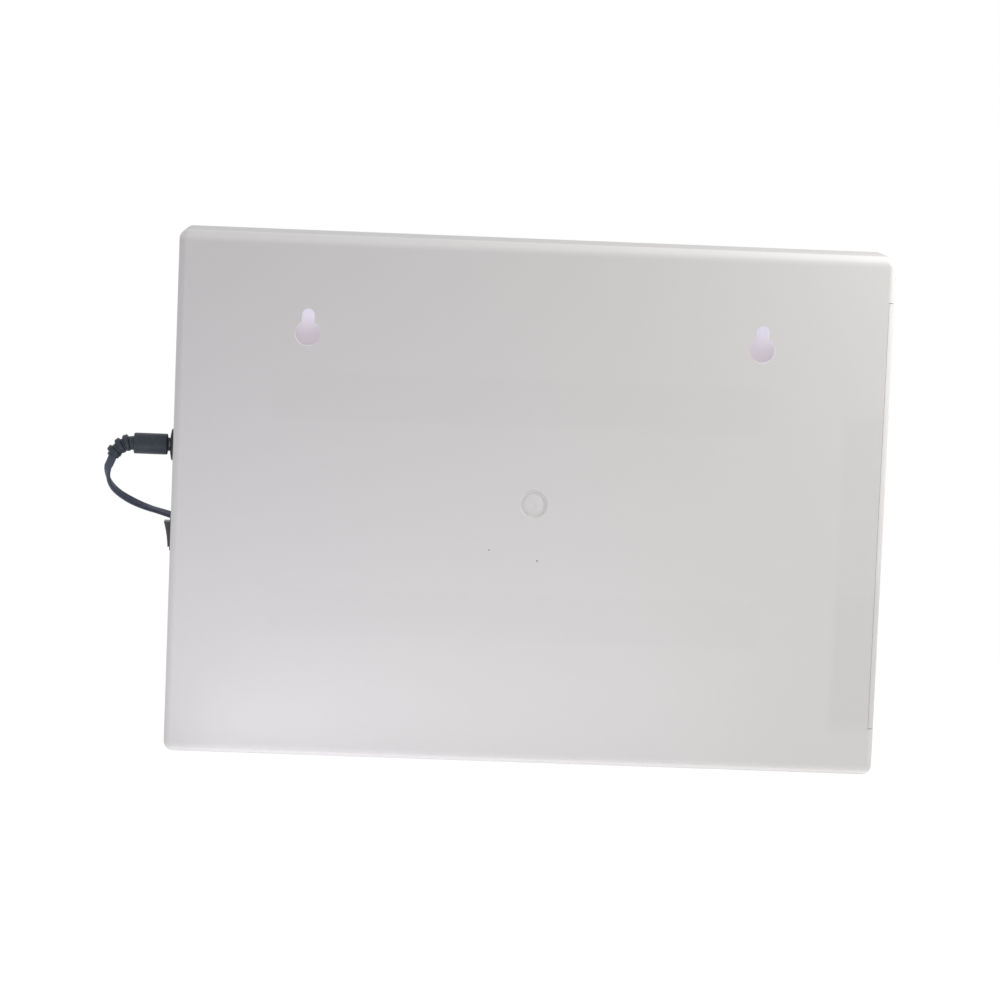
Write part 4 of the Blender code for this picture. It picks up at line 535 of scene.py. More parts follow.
@dataclass(frozen=True)
class LightStrip(Finish):
    """A white board with its lights: ivory packages with a yellow phosphor window, tinned pads, dark resistors."""

    centre_x: float = -0.005
    length: float = 0.200
    count: int = 12
    board_front_y: float = -0.0180
    edge_soft: float = 0.0002
    package_half: float = 0.0019
    window_radius: float = 0.00105
    pad_along: tuple[float, float] = (0.0024, 0.0030)
    pad_half: float = 0.0012
    chip_half: float = 0.0008
    middles_z: tuple[float, float] = (0.06204, 0.15290)
    board: Colour = (0.80, 0.80, 0.76)
    package: Colour = (0.86, 0.84, 0.78)
    phosphor: Colour = (0.86, 0.62, 0.12)
    resistor: Colour = (0.020, 0.020, 0.024)
    tin: Colour = (0.55, 0.55, 0.54)
    roughness: float = 0.48
    skin_depth: float = 0.00001

    def paint(self, bench: ShaderBench) -> dict[str, object]:
        """Reads each part of the strip from where it stands along the board."""
        place = bench.place()
        x, y, z = bench.parts(place)
        pitch = self.length / self.count
        along = (x - (self.centre_x - self.length / 2 + pitch / 2)).wrapped(pitch)
        row = abs(z - self.middles_z[0]).least(abs(z - self.middles_z[1]))
        soft = self.edge_soft
        raised = bench.step(y, self.board_front_y - soft, self.board_front_y)
        light = bench.step(along, self.package_half + soft, self.package_half) * raised
        from_middle = (along**2 + row**2) ** 0.5
        window = bench.step(from_middle, self.window_radius + soft, self.window_radius) * light
        solder = bench.field(along, *self.pad_along, soft) * bench.step(row, self.pad_half + soft, self.pad_half)
        chip = bench.step((pitch / 2 - along).most(0.0), self.chip_half + soft, self.chip_half) * raised
        cloud = bench.noise(place, 180.0, detail=3.0)
        colour = bench.tinted(self.board, bench.span(cloud, 0.95, 1.04))
        colour = bench.blend(solder, colour, self.tin)
        colour = bench.blend(chip, colour, self.resistor)
        colour = bench.blend(light, colour, self.package)
        return {
            "Base Color": bench.blend(window, colour, self.phosphor),
            "Roughness": bench.span(cloud, self.roughness - 0.08, self.roughness + 0.06),
            "Normal": bench.ripple(bench.noise(place, 3000.0, detail=1.0), self.skin_depth, strength=0.4),
        }


@dataclass(frozen=True)
class Insulation(Finish):
    """Thin PVC insulation on the inner wires: coloured, smooth, a little uneven."""

    colour: Colour = (0.45, 0.012, 0.014)
    roughness: float = 0.34
    skin_depth: float = 0.00001

    def paint(self, bench: ShaderBench) -> dict[str, object]:
        """The wire's colour with soft unevenness."""
        place = bench.place()
        cloud = bench.noise(place, 320.0, detail=3.0)
        return {
            "Base Color": bench.tinted(self.colour, bench.span(cloud, 0.82, 1.15)),
            "Roughness": bench.span(cloud, self.roughness - 0.05, self.roughness + 0.10),
            "Normal": bench.ripple(bench.noise(place, 2200.0), self.skin_depth, strength=0.4),
        }


# Shapes


def between(low: float, high: float, share: float) -> float:
    """The value at a share of the way from low to high."""
    return low + (high - low) * share


def eased(share: float) -> float:
    """A share from 0 to 1, slowed at both ends."""
    held = min(max(share, 0.0), 1.0)
    return held * held * (3 - 2 * held)


def facing(axis: Place, centre: Place) -> Matrix:
    """The transform that turns +Z to the axis and moves the origin to the centre."""
    turn = Vector(axis).to_track_quat("Z", "Y").to_matrix().to_4x4()
    return Matrix.Translation(Vector(centre)) @ turn


class Form:
    """A bmesh on its way to a piece, with the operators that this object's shapes come from."""

    def __init__(self, mesh: bpy.types.Mesh | None = None) -> None:
        """Starts empty, or from a mesh, whose doubles are merged."""
        self.bm = bmesh.new()
        if mesh is not None:
            self.bm.from_mesh(mesh)
            bmesh.ops.remove_doubles(self.bm, verts=self.bm.verts, dist=TINY)

    def block(self, low: Place, high: Place) -> None:
        """Adds a cuboid.

        Args:
            low: Its lowest corner.
            high: Its highest corner.
        """
        size = Vector(high) - Vector(low)
        middle = (Vector(high) + Vector(low)) / 2
        matrix = Matrix.Translation(middle) @ Matrix.Diagonal((*size, 1.0))
        bmesh.ops.create_cube(self.bm, size=1.0, matrix=matrix)

    def prism(self, outline: Sequence[Place], travel: Place) -> None:
        """Adds a prism.

        Args:
            outline: The corners of its first end, in order.
            travel: From its first end to its last.
        """
        corners = [self.bm.verts.new(Vector(corner)) for corner in outline]
        face = self.bm.faces.new(corners)
        made = bmesh.ops.extrude_face_region(self.bm, geom=[face], use_keep_orig=True)["geom"]
        moved = [item for item in made if isinstance(item, bmesh.types.BMVert)]
        bmesh.ops.translate(self.bm, vec=Vector(travel), verts=moved)

    def turned(self, profile: Sequence[tuple[float, float]], centre: Place, axis: Place, steps: int) -> None:
        """Spins a profile all the way round.

        Args:
            profile: Pairs of a radius and a distance along the axis. One that keeps clear of the axis
                is closed to a ring.
            centre: Where the distances start.
            axis: Their direction.
            steps: Faces around it.
        """
        matrix = facing(axis, centre)
        corners = [self.bm.verts.new(matrix @ Vector((radius, 0.0, along))) for radius, along in profile]
        pairs = list(zip(corners, corners[1:]))
        if profile[0][0] > 0:
            pairs.append((corners[-1], corners[0]))
        edges = [self.bm.edges.new(pair) for pair in pairs]
        turn = {"cent": Vector(centre), "axis": Vector(axis), "angle": math.tau}
        bmesh.ops.spin(self.bm, geom=corners + edges, steps=steps, use_merge=True, **turn)
        bmesh.ops.remove_doubles(self.bm, verts=self.bm.verts, dist=TINY)

    def swept(self, section: Sequence[Vector], stations: Sequence[Matrix]) -> None:
        """Carries a closed section along a line and closes both ends.

        Args:
            section: The section's points, about the origin of the XY plane.
            stations: The transform to each place on the line.
        """
        ring = [self.bm.verts.new(stations[0] @ point) for point in section]
        edges = [self.bm.edges.new(pair) for pair in zip(ring, ring[1:] + ring[:1])]
        bmesh.ops.contextual_create(self.bm, geom=edges)
        for before, after in zip(stations, stations[1:]):
            made = bmesh.ops.extrude_edge_only(self.bm, edges=edges)["geom"]
            verts = [item for item in made if isinstance(item, bmesh.types.BMVert)]
            edges = [item for item in made if isinstance(item, bmesh.types.BMEdge)]
            bmesh.ops.transform(self.bm, matrix=after @ before.inverted(), verts=verts)
        bmesh.ops.contextual_create(self.bm, geom=edges)

    def edges(self, chosen: Callable[[bmesh.types.BMEdge], bool]) -> list[bmesh.types.BMEdge]:
        """The edges that pass a test."""
        return [edge for edge in self.bm.edges if chosen(edge)]

    def round_off(self, edges: Sequence[bmesh.types.BMEdge], radius: float, steps: int) -> None:
        """Rounds edges.

        Args:
            edges: The edges to round.
            radius: How far the rounding reaches on either side.
            steps: Faces across it.
        """
        shape = {"affect": "EDGES", "offset_type": "OFFSET", "profile": 0.5, "material": -1}
        bmesh.ops.bevel(self.bm, geom=list(edges), offset=radius, segments=steps, clamp_overlap=True, **shape)

    def solid(self, name: str) -> bpy.types.Object:
        """Ends the form as a plain object with its faces outwards.

        Args:
            name: The object's name.

        Returns:
            The object, linked to the scene.
        """
        bmesh.ops.recalc_face_normals(self.bm, faces=self.bm.faces)
        mesh = bpy.data.meshes.new(name)
        self.bm.to_mesh(mesh)
        self.bm.free()
        item = bpy.data.objects.new(name, mesh)
        bpy.context.scene.collection.objects.link(item)
        return item


def cuboid(name: str, low: Place, high: Place) -> bpy.types.Object:
    """A cuboid as a solid of its own.

    Args:
        name: The object's name.
        low: Its lowest corner.
        high: Its highest corner.

    Returns:
        The object.
    """
    form = Form()
    form.block(low, high)
    return form.solid(name)


def cylinder(name: str, start: Place, end: Place, radius: float, steps: int) -> bpy.types.Object:
    """A round bar as a solid of its own.

    Args:
        name: The object's name.
        start: The middle of its first end.
        end: The middle of its last end.
        radius: Its radius.
        steps: Faces around it.

    Returns:
        The object.
    """
    axis = Vector(end) - Vector(start)
    matrix = facing(axis, (Vector(start) + Vector(end)) / 2)
    sizes = {"radius1": radius, "radius2": radius, "depth": axis.length}
    form = Form()
    bmesh.ops.create_cone(form.bm, cap_ends=True, segments=steps, matrix=matrix, **sizes)
    return form.solid(name)


def along(axis: Axis) -> Callable[[bmesh.types.BMEdge], bool]:
    """A test for edges that run along an axis."""

    def chosen(edge: bmesh.types.BMEdge) -> bool:
        """Whether the edge runs along the axis."""
        run = edge.verts[1].co - edge.verts[0].co
        return abs(abs(run[axis.value]) - run.length) < TINY

    return chosen


def at(axis: Axis, value: float) -> Callable[[bmesh.types.BMEdge], bool]:
    """A test for edges that lie in a plane across an axis."""

    def chosen(edge: bmesh.types.BMEdge) -> bool:
        """Whether both ends of the edge lie in the plane."""
        return all(abs(end.co[axis.value] - value) < NEAR for end in edge.verts)

    return chosen


def creased(edge: bmesh.types.BMEdge, least: float = math.radians(40)) -> bool:
    """Whether two faces meet at the edge at more than an angle."""
    return len(edge.link_faces) == 2 and edge.calc_face_angle(0.0) > least


def reopened(item: bpy.types.Object) -> Form:
    """Takes an object apart again.

    Args:
        item: The object, which is used up.

    Returns:
        A form of its mesh.
    """
    form = Form(item.data)
    bpy.data.objects.remove(item, do_unlink=True)
    return form


def worked(target: bpy.types.Object, operation: Operation, *tools: bpy.types.Object) -> None:
    """Joins solids to a target, cuts them from it, or keeps what they share with it.

    Args:
        target: The object that is changed.
        operation: What each tool does to it.
        tools: The solids, which are used up.
    """
    for tool in tools:
        modifier = target.modifiers.new(tool.name, "BOOLEAN")
        modifier.operation = operation.value
        modifier.solver = "EXACT"
        modifier.object = tool
    settle(target)
    for tool in tools:
        bpy.data.objects.remove(tool, do_unlink=True)


def settle(target: bpy.types.Object) -> None:
    """Applies every modifier of an object to its mesh."""
    seen = bpy.context.evaluated_depsgraph_get()
    mesh = bpy.data.meshes.new_from_object(target.evaluated_get(seen))
    target.modifiers.clear()
    target.data = mesh


@dataclass(frozen=True)
class Dress:
    """How a finished shape becomes a piece of the model."""

    body: Body
    slot: str
    finish: Finish
    nodes: tuple[str, ...]
    sharp: float = SHARP_ANGLE
    flat_faces: bool = True

    def put_on(self, item: bpy.types.Object) -> bpy.types.Object:
        """Shades the shape, gives it its material and hangs it on its body.

        Args:
            item: The finished shape.

        Returns:
            The same object.
        """
        item.data.materials.clear()
        item.data.materials.append(self.finish.material())
        item.data.shade_smooth()
        item.data.set_sharp_from_angle(angle=self.sharp)
        if self.flat_faces:
            weighted = item.modifiers.new("flat_faces", "WEIGHTED_NORMAL")
            weighted.mode = "FACE_AREA"
            weighted.weight = 100
            weighted.keep_sharp = True
        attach(item, self.body.value)
        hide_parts(*self.nodes)
        log.info("%s stands for %s", item.name, ", ".join(self.nodes))
        return item


def paint_nodes(finish: Finish, *names: str) -> None:
    """Gives CAD nodes a finish and leaves their shapes alone.

    Args:
        finish: Their finish.
        names: The nodes' names.
    """
    for name in names:
        for material_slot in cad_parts[name].material_slots:
            material_slot.material = finish.material()
        log.info("%s keeps its shape and takes %s", name, finish.name)


# Studio


@dataclass(frozen=True)
class Viewpoint:
    """The camera, where the photograph's perspective puts it."""

    target: Triple = (0.0, 0.0, 0.110)
    distance: float = 1.7254
    azimuth: float = math.radians(-2.039)
    elevation: float = math.radians(6.202)
    roll: float = math.radians(2.348)
    lens: float = 146.06
    shift: tuple[float, float] = (-0.02730, -0.0004)
    far_limit: float = 100.0

    def build(self) -> None:
        """Makes the scene's camera."""
        level = math.cos(self.elevation)
        back = Vector((math.sin(self.azimuth) * level, -math.cos(self.azimuth) * level, math.sin(self.elevation)))
        data = bpy.data.cameras.new("camera")
        data.lens = self.lens
        data.shift_x, data.shift_y = self.shift
        data.clip_end = self.far_limit
        camera = bpy.data.objects.new("camera", data)
        camera.location = Vector(self.target) + back * self.distance
        camera.rotation_mode = "QUATERNION"
        camera.rotation_quaternion = (-back).to_track_quat("-Z", "Y") @ Quaternion((0, 0, 1), self.roll)
        bpy.context.scene.collection.objects.link(camera)
        bpy.context.scene.camera = camera


@dataclass(frozen=True)
class SoftLamp:
    """A flat soft light."""

    name: str
    place: Triple
    size: tuple[float, float]
    watts: float
    colour: Colour
    aim: Triple = (0.0, 0.0, 0.10)

    def build(self) -> None:
        """Makes the lamp, unseen by the camera itself."""
        data = bpy.data.lights.new(self.name, "AREA")
        data.shape = "RECTANGLE"
        data.size, data.size_y = self.size
        data.energy = self.watts
        data.color = self.colour
        lamp = bpy.data.objects.new(self.name, data)
        lamp.location = self.place
        lamp.rotation_euler = (Vector(self.aim) - Vector(self.place)).to_track_quat("-Z", "Y").to_euler()
        lamp.visible_camera = False
        bpy.context.scene.collection.objects.link(lamp)


@dataclass(frozen=True)
class Studio:
    """A pale table in a white room with soft light."""

    viewpoint: Viewpoint = Viewpoint()
    lamps: tuple[SoftLamp, ...] = (
        SoftLamp("lamp_right", (0.35, -0.12, 0.35), (0.20, 0.20), 0.753, (1.0, 0.99, 0.98)),
        SoftLamp("lamp_low", (-0.10, -0.20, 0.02), (0.40, 0.03), 0.086, (1.0, 0.985, 1.01)),
        SoftLamp("lamp_foot", (-0.02, -0.08, 0.005), (0.24, 0.01), 0.013, (1.0, 0.985, 1.0)),
    )
    room_light: float = 0.581
    table_light: float = 0.86
    table_white: float = 1.10
    table_colour: Colour = (0.78, 0.78, 0.78)
    table_size: float = 24.0
    table_drop: float = 0.00005

    def build(self) -> None:
        """Makes the camera, the lamps, the room and the table."""
        self.viewpoint.build()
        for lamp in self.lamps:
            lamp.build()
        self._room()
        self._table()
        bpy.context.scene.view_settings.view_transform = "Standard"

    def _seen(self, bench: ShaderBench) -> Signal:
        """1 for rays that show the room or the table itself, and 0 for those that carry its light."""
        rays = ("Is Camera Ray", "Is Glossy Ray", "Is Transmission Ray")
        camera, glossy, glass = (bench.add("ShaderNodeLightPath", output=name) for name in rays)
        return camera.most(glossy).most(glass)

    def _room(self) -> None:
        """White where it is seen, and a softer light on the object."""
        world = bpy.data.worlds.new("room")
        world.use_nodes = True
        bench = ShaderBench(world.node_tree)
        shader = world.node_tree.nodes["Background"]
        bench.feed(shader.inputs["Strength"], bench.span(self._seen(bench), self.room_light, 1.0))
        bench.feed(shader.inputs["Color"], (1.0, 1.0, 1.0))
        bpy.context.scene.world = world

    def _table(self) -> None:
        """A plain pale top that keeps the object's shadow and meets the room without an edge."""
        form = Form()
        bmesh.ops.create_grid(form.bm, x_segments=1, y_segments=1, size=self.table_size / 2)
        bmesh.ops.translate(form.bm, vec=(0, 0, -self.table_drop), verts=form.bm.verts)
        table = form.solid("table_top")
        material = bpy.data.materials.new("pale_table")
        material.use_nodes = True
        tree = material.node_tree
        bench = ShaderBench(tree)
        place = bench.place()
        colour = bench.tinted(self.table_colour, bench.span(bench.noise(place, 3.0), 0.99, 1.01))
        matt = bench.add("ShaderNodeBsdfDiffuse", {}, {"Color": colour})
        white = bench.add("ShaderNodeEmission", {}, {"Color": (1.0, 1.0, 1.0), "Strength": self.table_white})
        both = bench.add("ShaderNodeMixShader", {}, {0: self._seen(bench) * self.table_light, 1: matt, 2: white})
        bench.feed(tree.nodes["Material Output"].inputs["Surface"], both)
        table.data.materials.append(material)


# The object


@dataclass(frozen=True)
class CaseSizes:
    """The outside of the case, which the housing, the frame and the cover share."""

    width: float = 0.3000
    height: float = 0.2200
    back_y: float = -0.0210
    front_y: float = 0.0170
    rim_y: float = 0.0210
    gap: float = 0.0003
    wall: float = 0.0022
    corner: float = 0.0040
    back_fillet: float = 0.0030
    inner_corner: float = 0.0018
    corner_steps: int = 12
    fillet_steps: int = 8
    overrun: float = 0.010
    lap: float = 0.0004
    back_reach: float = 0.0005
    seat_x: float = 0.1475
    seat_low_z: float = 0.0198
    seat_high_z: float = 0.2006
    seat_front_y: float = 0.0132
    bay_low: Triple = (0.1325, -0.0188, 0.0290)
    bay_high: Triple = (0.1475, 0.0124, 0.1914)
    peg_width: float = 0.0060
    peg_thickness: float = 0.0020
    peg_length: float = 0.0050
    peg_inset: float = 0.0050
    peg_spread: float = 0.0180
    hook_width: float = 0.0120
    hook_length: float = 0.0066
    hook_barb: float = 0.0009
    hook_ramp: float = 0.0016
    hook_shares: tuple[float, ...] = (-0.34, 0.0, 0.34)
    side_hook_shares: tuple[float, ...] = (-0.30, 0.30)
    skirt_end_y: float = 0.0146
    skirt_wall: float = 0.0016

    def slab(self, inset: float, radius: float, low_y: float, high_y: float) -> Form:
        """A rounded slab on the case's outline.

        Args:
            inset: How far inside the case's outline it lies.
            radius: Of its four corners.
            low_y: Where it starts.
            high_y: Where it ends.

        Returns:
            The form of the slab.
        """
        form = Form()
        half = self.width / 2 - inset
        form.block((-half, low_y, inset), (half, high_y, self.height - inset))
        form.round_off(form.edges(along(Axis.Y)), radius, self.corner_steps)
        return form

    def outside(self) -> Form:
        """The case's outside as a solid, with the back's edge rounded."""
        form = self.slab(0.0, self.corner, self.back_y, self.front_y)
        form.round_off(form.edges(at(Axis.Y, self.back_y)), self.back_fillet, self.fillet_steps)
        return form

    def pegs(self, grow: float, start_x: float, end_x: float) -> Form:
        """The four flat pegs of the cover, or the slots for them.

        Args:
            grow: How much larger than a peg each block is, on every side.
            start_x: Where the blocks start.
            end_x: Where they end.

        Returns:
            The form of the four blocks.
        """
        form = Form()
        middle_y = (self.bay_low[1] + self.bay_high[1]) / 2
        half_width = self.peg_width / 2 + grow
        half_thickness = self.peg_thickness / 2 + grow
        for y in (middle_y - self.peg_spread / 2, middle_y + self.peg_spread / 2):
            for z in (self.seat_low_z + self.peg_inset, self.seat_high_z - self.peg_inset):
                low = (start_x, y - half_width, z - half_thickness)
                form.block(low, (end_x, y + half_width, z + half_thickness))
        return form

    def wall_sites(self, shares: Sequence[float], side_shares: Sequence[float]) -> list[tuple[Matrix, float]]:
        """Where the snap hooks or the ribs sit on the walls.

        Args:
            shares: Places along the upper and the lower wall, as shares of the width.
            side_shares: Places on the left wall, as shares of the height.

        Returns:
            Pairs of the transform from (inwards, Y, along) to the case, and the place along the wall.
        """
        inner = self.width / 2 - self.wall
        top = Matrix(((0, 0, 1, 0), (0, 1, 0, 0), (-1, 0, 0, self.height - self.wall), (0, 0, 0, 1)))
        bottom = Matrix(((0, 0, 1, 0), (0, 1, 0, 0), (1, 0, 0, self.wall), (0, 0, 0, 1)))
        left = Matrix(((1, 0, 0, -inner), (0, 1, 0, 0), (0, 0, 1, 0), (0, 0, 0, 1)))
        sites = [(wall, share * self.width) for wall in (top, bottom) for share in shares]
        return sites + [(left, self.height * (0.5 + share)) for share in side_shares]

    def on_walls(
        self, section: Sequence[tuple[float, float]], width: float, sites: Iterable[tuple[Matrix, float]]
    ) -> Form:
        """Prisms of one section, each across its place on a wall.

        Args:
            section: Pairs of a distance inwards and a Y.
            width: Of each prism along its wall.
            sites: Where they stand.

        Returns:
            The form of all the prisms.
        """
        form = Form()
        for wall, place in sites:
            outline = [wall @ Vector((inwards, y, place - width / 2)) for inwards, y in section]
            form.prism(outline, wall.to_3x3() @ Vector((0, 0, width)))
        return form


@dataclass(frozen=True)
class RearHousing:
    """The moulded tray: back, walls, cell bay, ribs, keyholes with their pockets, and the gate's mark."""

    case: CaseSizes = CaseSizes()
    bay_wall: float = 0.0016
    seat_plate: float = 0.0018
    rib_thickness: float = 0.0015
    rib_reach: float = 0.0060
    panel_back_y: float = 0.0162
    rib_shares: tuple[float, ...] = (-0.42, -0.20, 0.20, 0.38)
    side_rib_shares: tuple[float, ...] = (-0.20, 0.20)
    strip_start_x: float = -0.1070
    strip_end_x: float = 0.0970
    strip_middles_z: tuple[float, float] = (0.06204, 0.15290)
    strip_half: float = 0.0043
    guide_width: float = 0.0012
    guide_height: float = 0.0013
    keyholes: tuple[tuple[float, float], ...] = ((-0.0952, 0.1787), (0.0952, 0.1787))
    keyhole_radius: float = 0.0053
    keyhole_steps: int = 72
    crown_steps: int = 40
    slot_half: float = 0.0026
    slot_rise: float = 0.0076
    keyhole_edge: float = 0.00042
    pocket_depth: float = 0.0054
    pocket_wall: float = 0.0012
    pocket_room: float = 0.0013
    gate: tuple[float, float] = (0.0019, 0.1105)
    gate_steps: int = 96
    gate_profile: tuple[tuple[float, float], ...] = (
        (0.0, -0.0100),
        (0.0060, -0.0100),
        (0.0060, 0.0),
        (0.0057, 0.00035),
        (0.0053, 0.00090),
        (0.0045, 0.00090),
        (0.0041, 0.00045),
        (0.0036, 0.00028),
        (0.0009, 0.00030),
        (0.0006, 0.00040),
        (0.0, 0.00040),
    )
    tag_half: float = 0.0018
    tag_rise: float = 0.0010
    jack_place: tuple[float, float] = (0.0, 0.1279)
    jack_radius: float = 0.0043
    jack_steps: int = 48
    switch_place: tuple[float, float] = (0.0, 0.0906)
    switch_half: tuple[float, float] = (0.0046, 0.0068)
    seam_edge: float = 0.00022
    gate_edge: float = 0.00010
    # Half height of each painted shade band over a light strip.
    strip_shade_half: float = 0.008
    low_shade_inset: float = 0.001
    specks: tuple[Triple, ...] = ((-0.0160, 0.0904, 0.00025), (0.0044, 0.0865, 0.0003))

    def build(self) -> None:
        """Makes the housing and dresses it."""
        housing = self.case.outside().solid("rear_housing_shell")
        worked(housing, Operation.CUT, self._cavity())
        worked(housing, Operation.JOIN, *self._inner_parts())
        worked(housing, Operation.CUT, *self._openings())
        form = reopened(housing)
        form.round_off(form.edges(self._is_keyhole_rim), self.keyhole_edge, 3)
        form.round_off(form.edges(self._is_seam), self.seam_edge, 2)
        Dress(Body.CASE, "housing_white", self._finish(), ("rear_housing",)).put_on(form.solid("housing"))

    def _finish(self) -> Finish:
        """White ABS with bands of painted shade over the light strips and the cell bay, another low over the bay,
        and two specks.
        """
        # Painted shade: bands over the strips and the bay, and another low over the bay where the light falls off.
        half = self.strip_shade_half
        strips = tuple(
            ShadeBand(self.strip_start_x, self.strip_end_x, z - half, z + half, soft=0.004, depth=0.014)
            for z in self.strip_middles_z
        )
        inner_x, outer_x = self.case.bay_low[0], self.case.width / 2
        bay = ShadeBand(inner_x, outer_x, low_z=0.020, high_z=0.150, soft=0.003, depth=0.024)
        start_x = inner_x + self.low_shade_inset
        low_bay_shade = ShadeBand(start_x, outer_x, low_z=0.024, high_z=0.072, soft=0.006, depth=0.024)
        return MouldedAbs("white_abs_housing", shade_bands=(*strips, bay, low_bay_shade), specks=self.specks)

    def _cavity(self) -> bpy.types.Object:
        """The room inside the tray."""
        start = self.case.back_y + self.case.wall
        end = self.case.rim_y + self.case.overrun
        return self.case.slab(self.case.wall, self.case.inner_corner, start, end).solid("cavity")

    def _inner_parts(self) -> list[bpy.types.Object]:
        """What stands on the tray's walls: the bay, the cover's ledges, the pockets, ribs and guides."""
        case = self.case
        inner_x = case.width / 2 - case.wall
        floor = case.back_y + case.wall - case.lap
        front = case.bay_high[1] + self.bay_wall
        low_z = case.bay_low[2] - self.bay_wall
        high_z = case.bay_high[2] + self.bay_wall
        bay = cuboid("bay", (case.bay_low[0] - self.bay_wall, floor, low_z), (inner_x + case.lap, front, high_z))
        ledges = [
            cuboid(name, (case.seat_x - self.seat_plate, floor, start), (inner_x + case.lap, front, end))
            for name, start, end in (
                ("ledge_low", case.seat_low_z - self.seat_plate, low_z + case.lap),
                ("ledge_high", high_z - case.lap, case.seat_high_z + self.seat_plate),
            )
        ]
        skirt_room = case.gap + case.skirt_wall + case.gap
        section = (
            (-case.lap, floor),
            (self.rib_reach, floor),
            (self.rib_reach, self.panel_back_y - case.gap),
            (skirt_room, self.panel_back_y - case.gap),
            (skirt_room, case.skirt_end_y - case.gap),
            (-case.lap, case.skirt_end_y - case.gap),
        )
        sites = case.wall_sites(self.rib_shares, self.side_rib_shares)
        ribs = case.on_walls(section, self.rib_thickness, sites)
        guides = Form()
        for z in self.strip_middles_z:
            for start in (self.strip_half, -self.strip_half - self.guide_width):
                low = (self.strip_start_x, floor, z + start)
                high = (self.strip_end_x, floor + case.lap + self.guide_height, z + start + self.guide_width)
                guides.block(low, high)
        bosses = self._pockets(self.pocket_wall, floor)
        return [bay, *ledges, bosses, ribs.solid("ribs"), guides.solid("guides")]

    def _pockets(self, grow: float, start_y: float) -> bpy.types.Object:
        """The keyholes' pockets, or the bosses around them.

        Args:
            grow: The thickness of the wall to add.
            start_y: Where they start.

        Returns:
            The solid of both.
        """
        form = Form()
        half = self.keyhole_radius + self.pocket_room + grow
        rise = self.slot_rise + self.slot_half + self.pocket_room + grow
        end_y = self.case.back_y + self.case.wall + self.pocket_depth + grow
        for x, z in self.keyholes:
            form.block((x - half, start_y, z - half), (x + half, end_y, z + rise))
        return form.solid("pockets")

    def _openings(self) -> list[bpy.types.Object]:
        """Everything that is cut through or into the tray."""
        case = self.case
        seat_end = (case.width / 2 + case.overrun, case.seat_front_y, case.seat_high_z)
        seat = cuboid("seat", (case.seat_x, case.back_y - case.overrun, case.seat_low_z), seat_end)
        void = cuboid("void", case.bay_low, (case.width / 2 + case.overrun / 2, *case.bay_high[1:]))
        slots = case.pegs(
            case.gap, case.seat_x - self.seat_plate - case.overrun / 4, case.seat_x + case.overrun / 4
        )
        tools = [seat, void, slots.solid("slots"), self._tag_slots()]
        tools += [self._pockets(0.0, case.back_y + case.wall), *self._keyhole_tools()]
        return [*tools, self._gate_tool(), self._hook_recesses(), *self._side_tools()]

    def _tag_slots(self) -> bpy.types.Object:
        """Slots in the bay's inner wall for the contacts' tags."""
        case = self.case
        middle = (case.bay_low[1] + case.bay_high[1]) / 2
        start = case.bay_low[0] - self.bay_wall - case.overrun / 2
        form = Form()
        for low_z, high_z in (
            (case.bay_low[2] - case.lap, case.bay_low[2] + self.tag_rise),
            (case.bay_high[2] - self.tag_rise, case.bay_high[2] + case.lap),
        ):
            low = (start, middle - self.tag_half, low_z)
            form.block(low, (case.bay_low[0] + case.lap, middle + self.tag_half, high_z))
        return form.solid("tag_slots")

    def _keyhole_tools(self) -> list[bpy.types.Object]:
        """Cutters for each keyhole: the round, the slot above it and the slot's round end."""
        start = self.case.back_y - self.case.overrun
        end = self.case.back_y + self.case.wall + self.pocket_depth / 2
        tools = []
        for index, (x, z) in enumerate(self.keyholes):
            low = (x - self.slot_half, start - self.case.lap, z)
            high = z + self.slot_rise
            crown = (x, start - 2 * self.case.lap, high)
            tools += [
                cylinder(f"head_{index}", (x, start, z), (x, end, z), self.keyhole_radius, self.keyhole_steps),
                cuboid(f"neck_{index}", low, (x + self.slot_half, end, high)),
                cylinder(f"crown_{index}", crown, (x, end, high), self.slot_half, self.crown_steps),
            ]
        return tools

    def _gate_tool(self) -> bpy.types.Object:
        """The shallow ring, island and stub that the moulding gate leaves, with soft steps."""
        form = Form()
        centre = (self.gate[0], self.case.back_y, self.gate[1])
        form.turned(self.gate_profile, centre, (0, 1, 0), self.gate_steps)
        inside = [edge for edge in form.bm.edges if all(end.co.y > self.case.back_y + TINY for end in edge.verts)]
        form.round_off([edge for edge in inside if creased(edge, math.radians(20))], self.gate_edge, 2)
        return form.solid("gate")

    def _hook_recesses(self) -> bpy.types.Object:
        """Blind pockets in the walls for the barbs of the frame's hooks."""
        case = self.case
        end = case.skirt_end_y - case.hook_length
        section = (
            (-case.hook_barb, end - case.gap),
            (case.lap, end - case.gap),
            (case.lap, end + 2 * case.hook_ramp + case.gap),
            (-case.hook_barb, end + 2 * case.hook_ramp + case.gap),
        )
        sites = case.wall_sites(case.hook_shares, case.side_hook_shares)
        return case.on_walls(section, case.hook_width + 2 * case.gap, sites).solid("recesses")

    def _side_tools(self) -> list[bpy.types.Object]:
        """The holes in the left wall for the socket and the switch."""
        outer = -self.case.width / 2 - self.case.overrun
        inner = -self.case.width / 2 + self.case.wall + self.case.overrun / 2
        y, z = self.jack_place
        jack = cylinder("jack_hole", (outer, y, z), (inner, y, z), self.jack_radius, self.jack_steps)
        y, z = self.switch_place
        half_y, half_z = self.switch_half
        return [jack, cuboid("switch_hole", (outer, y - half_y, z - half_z), (inner, y + half_y, z + half_z))]

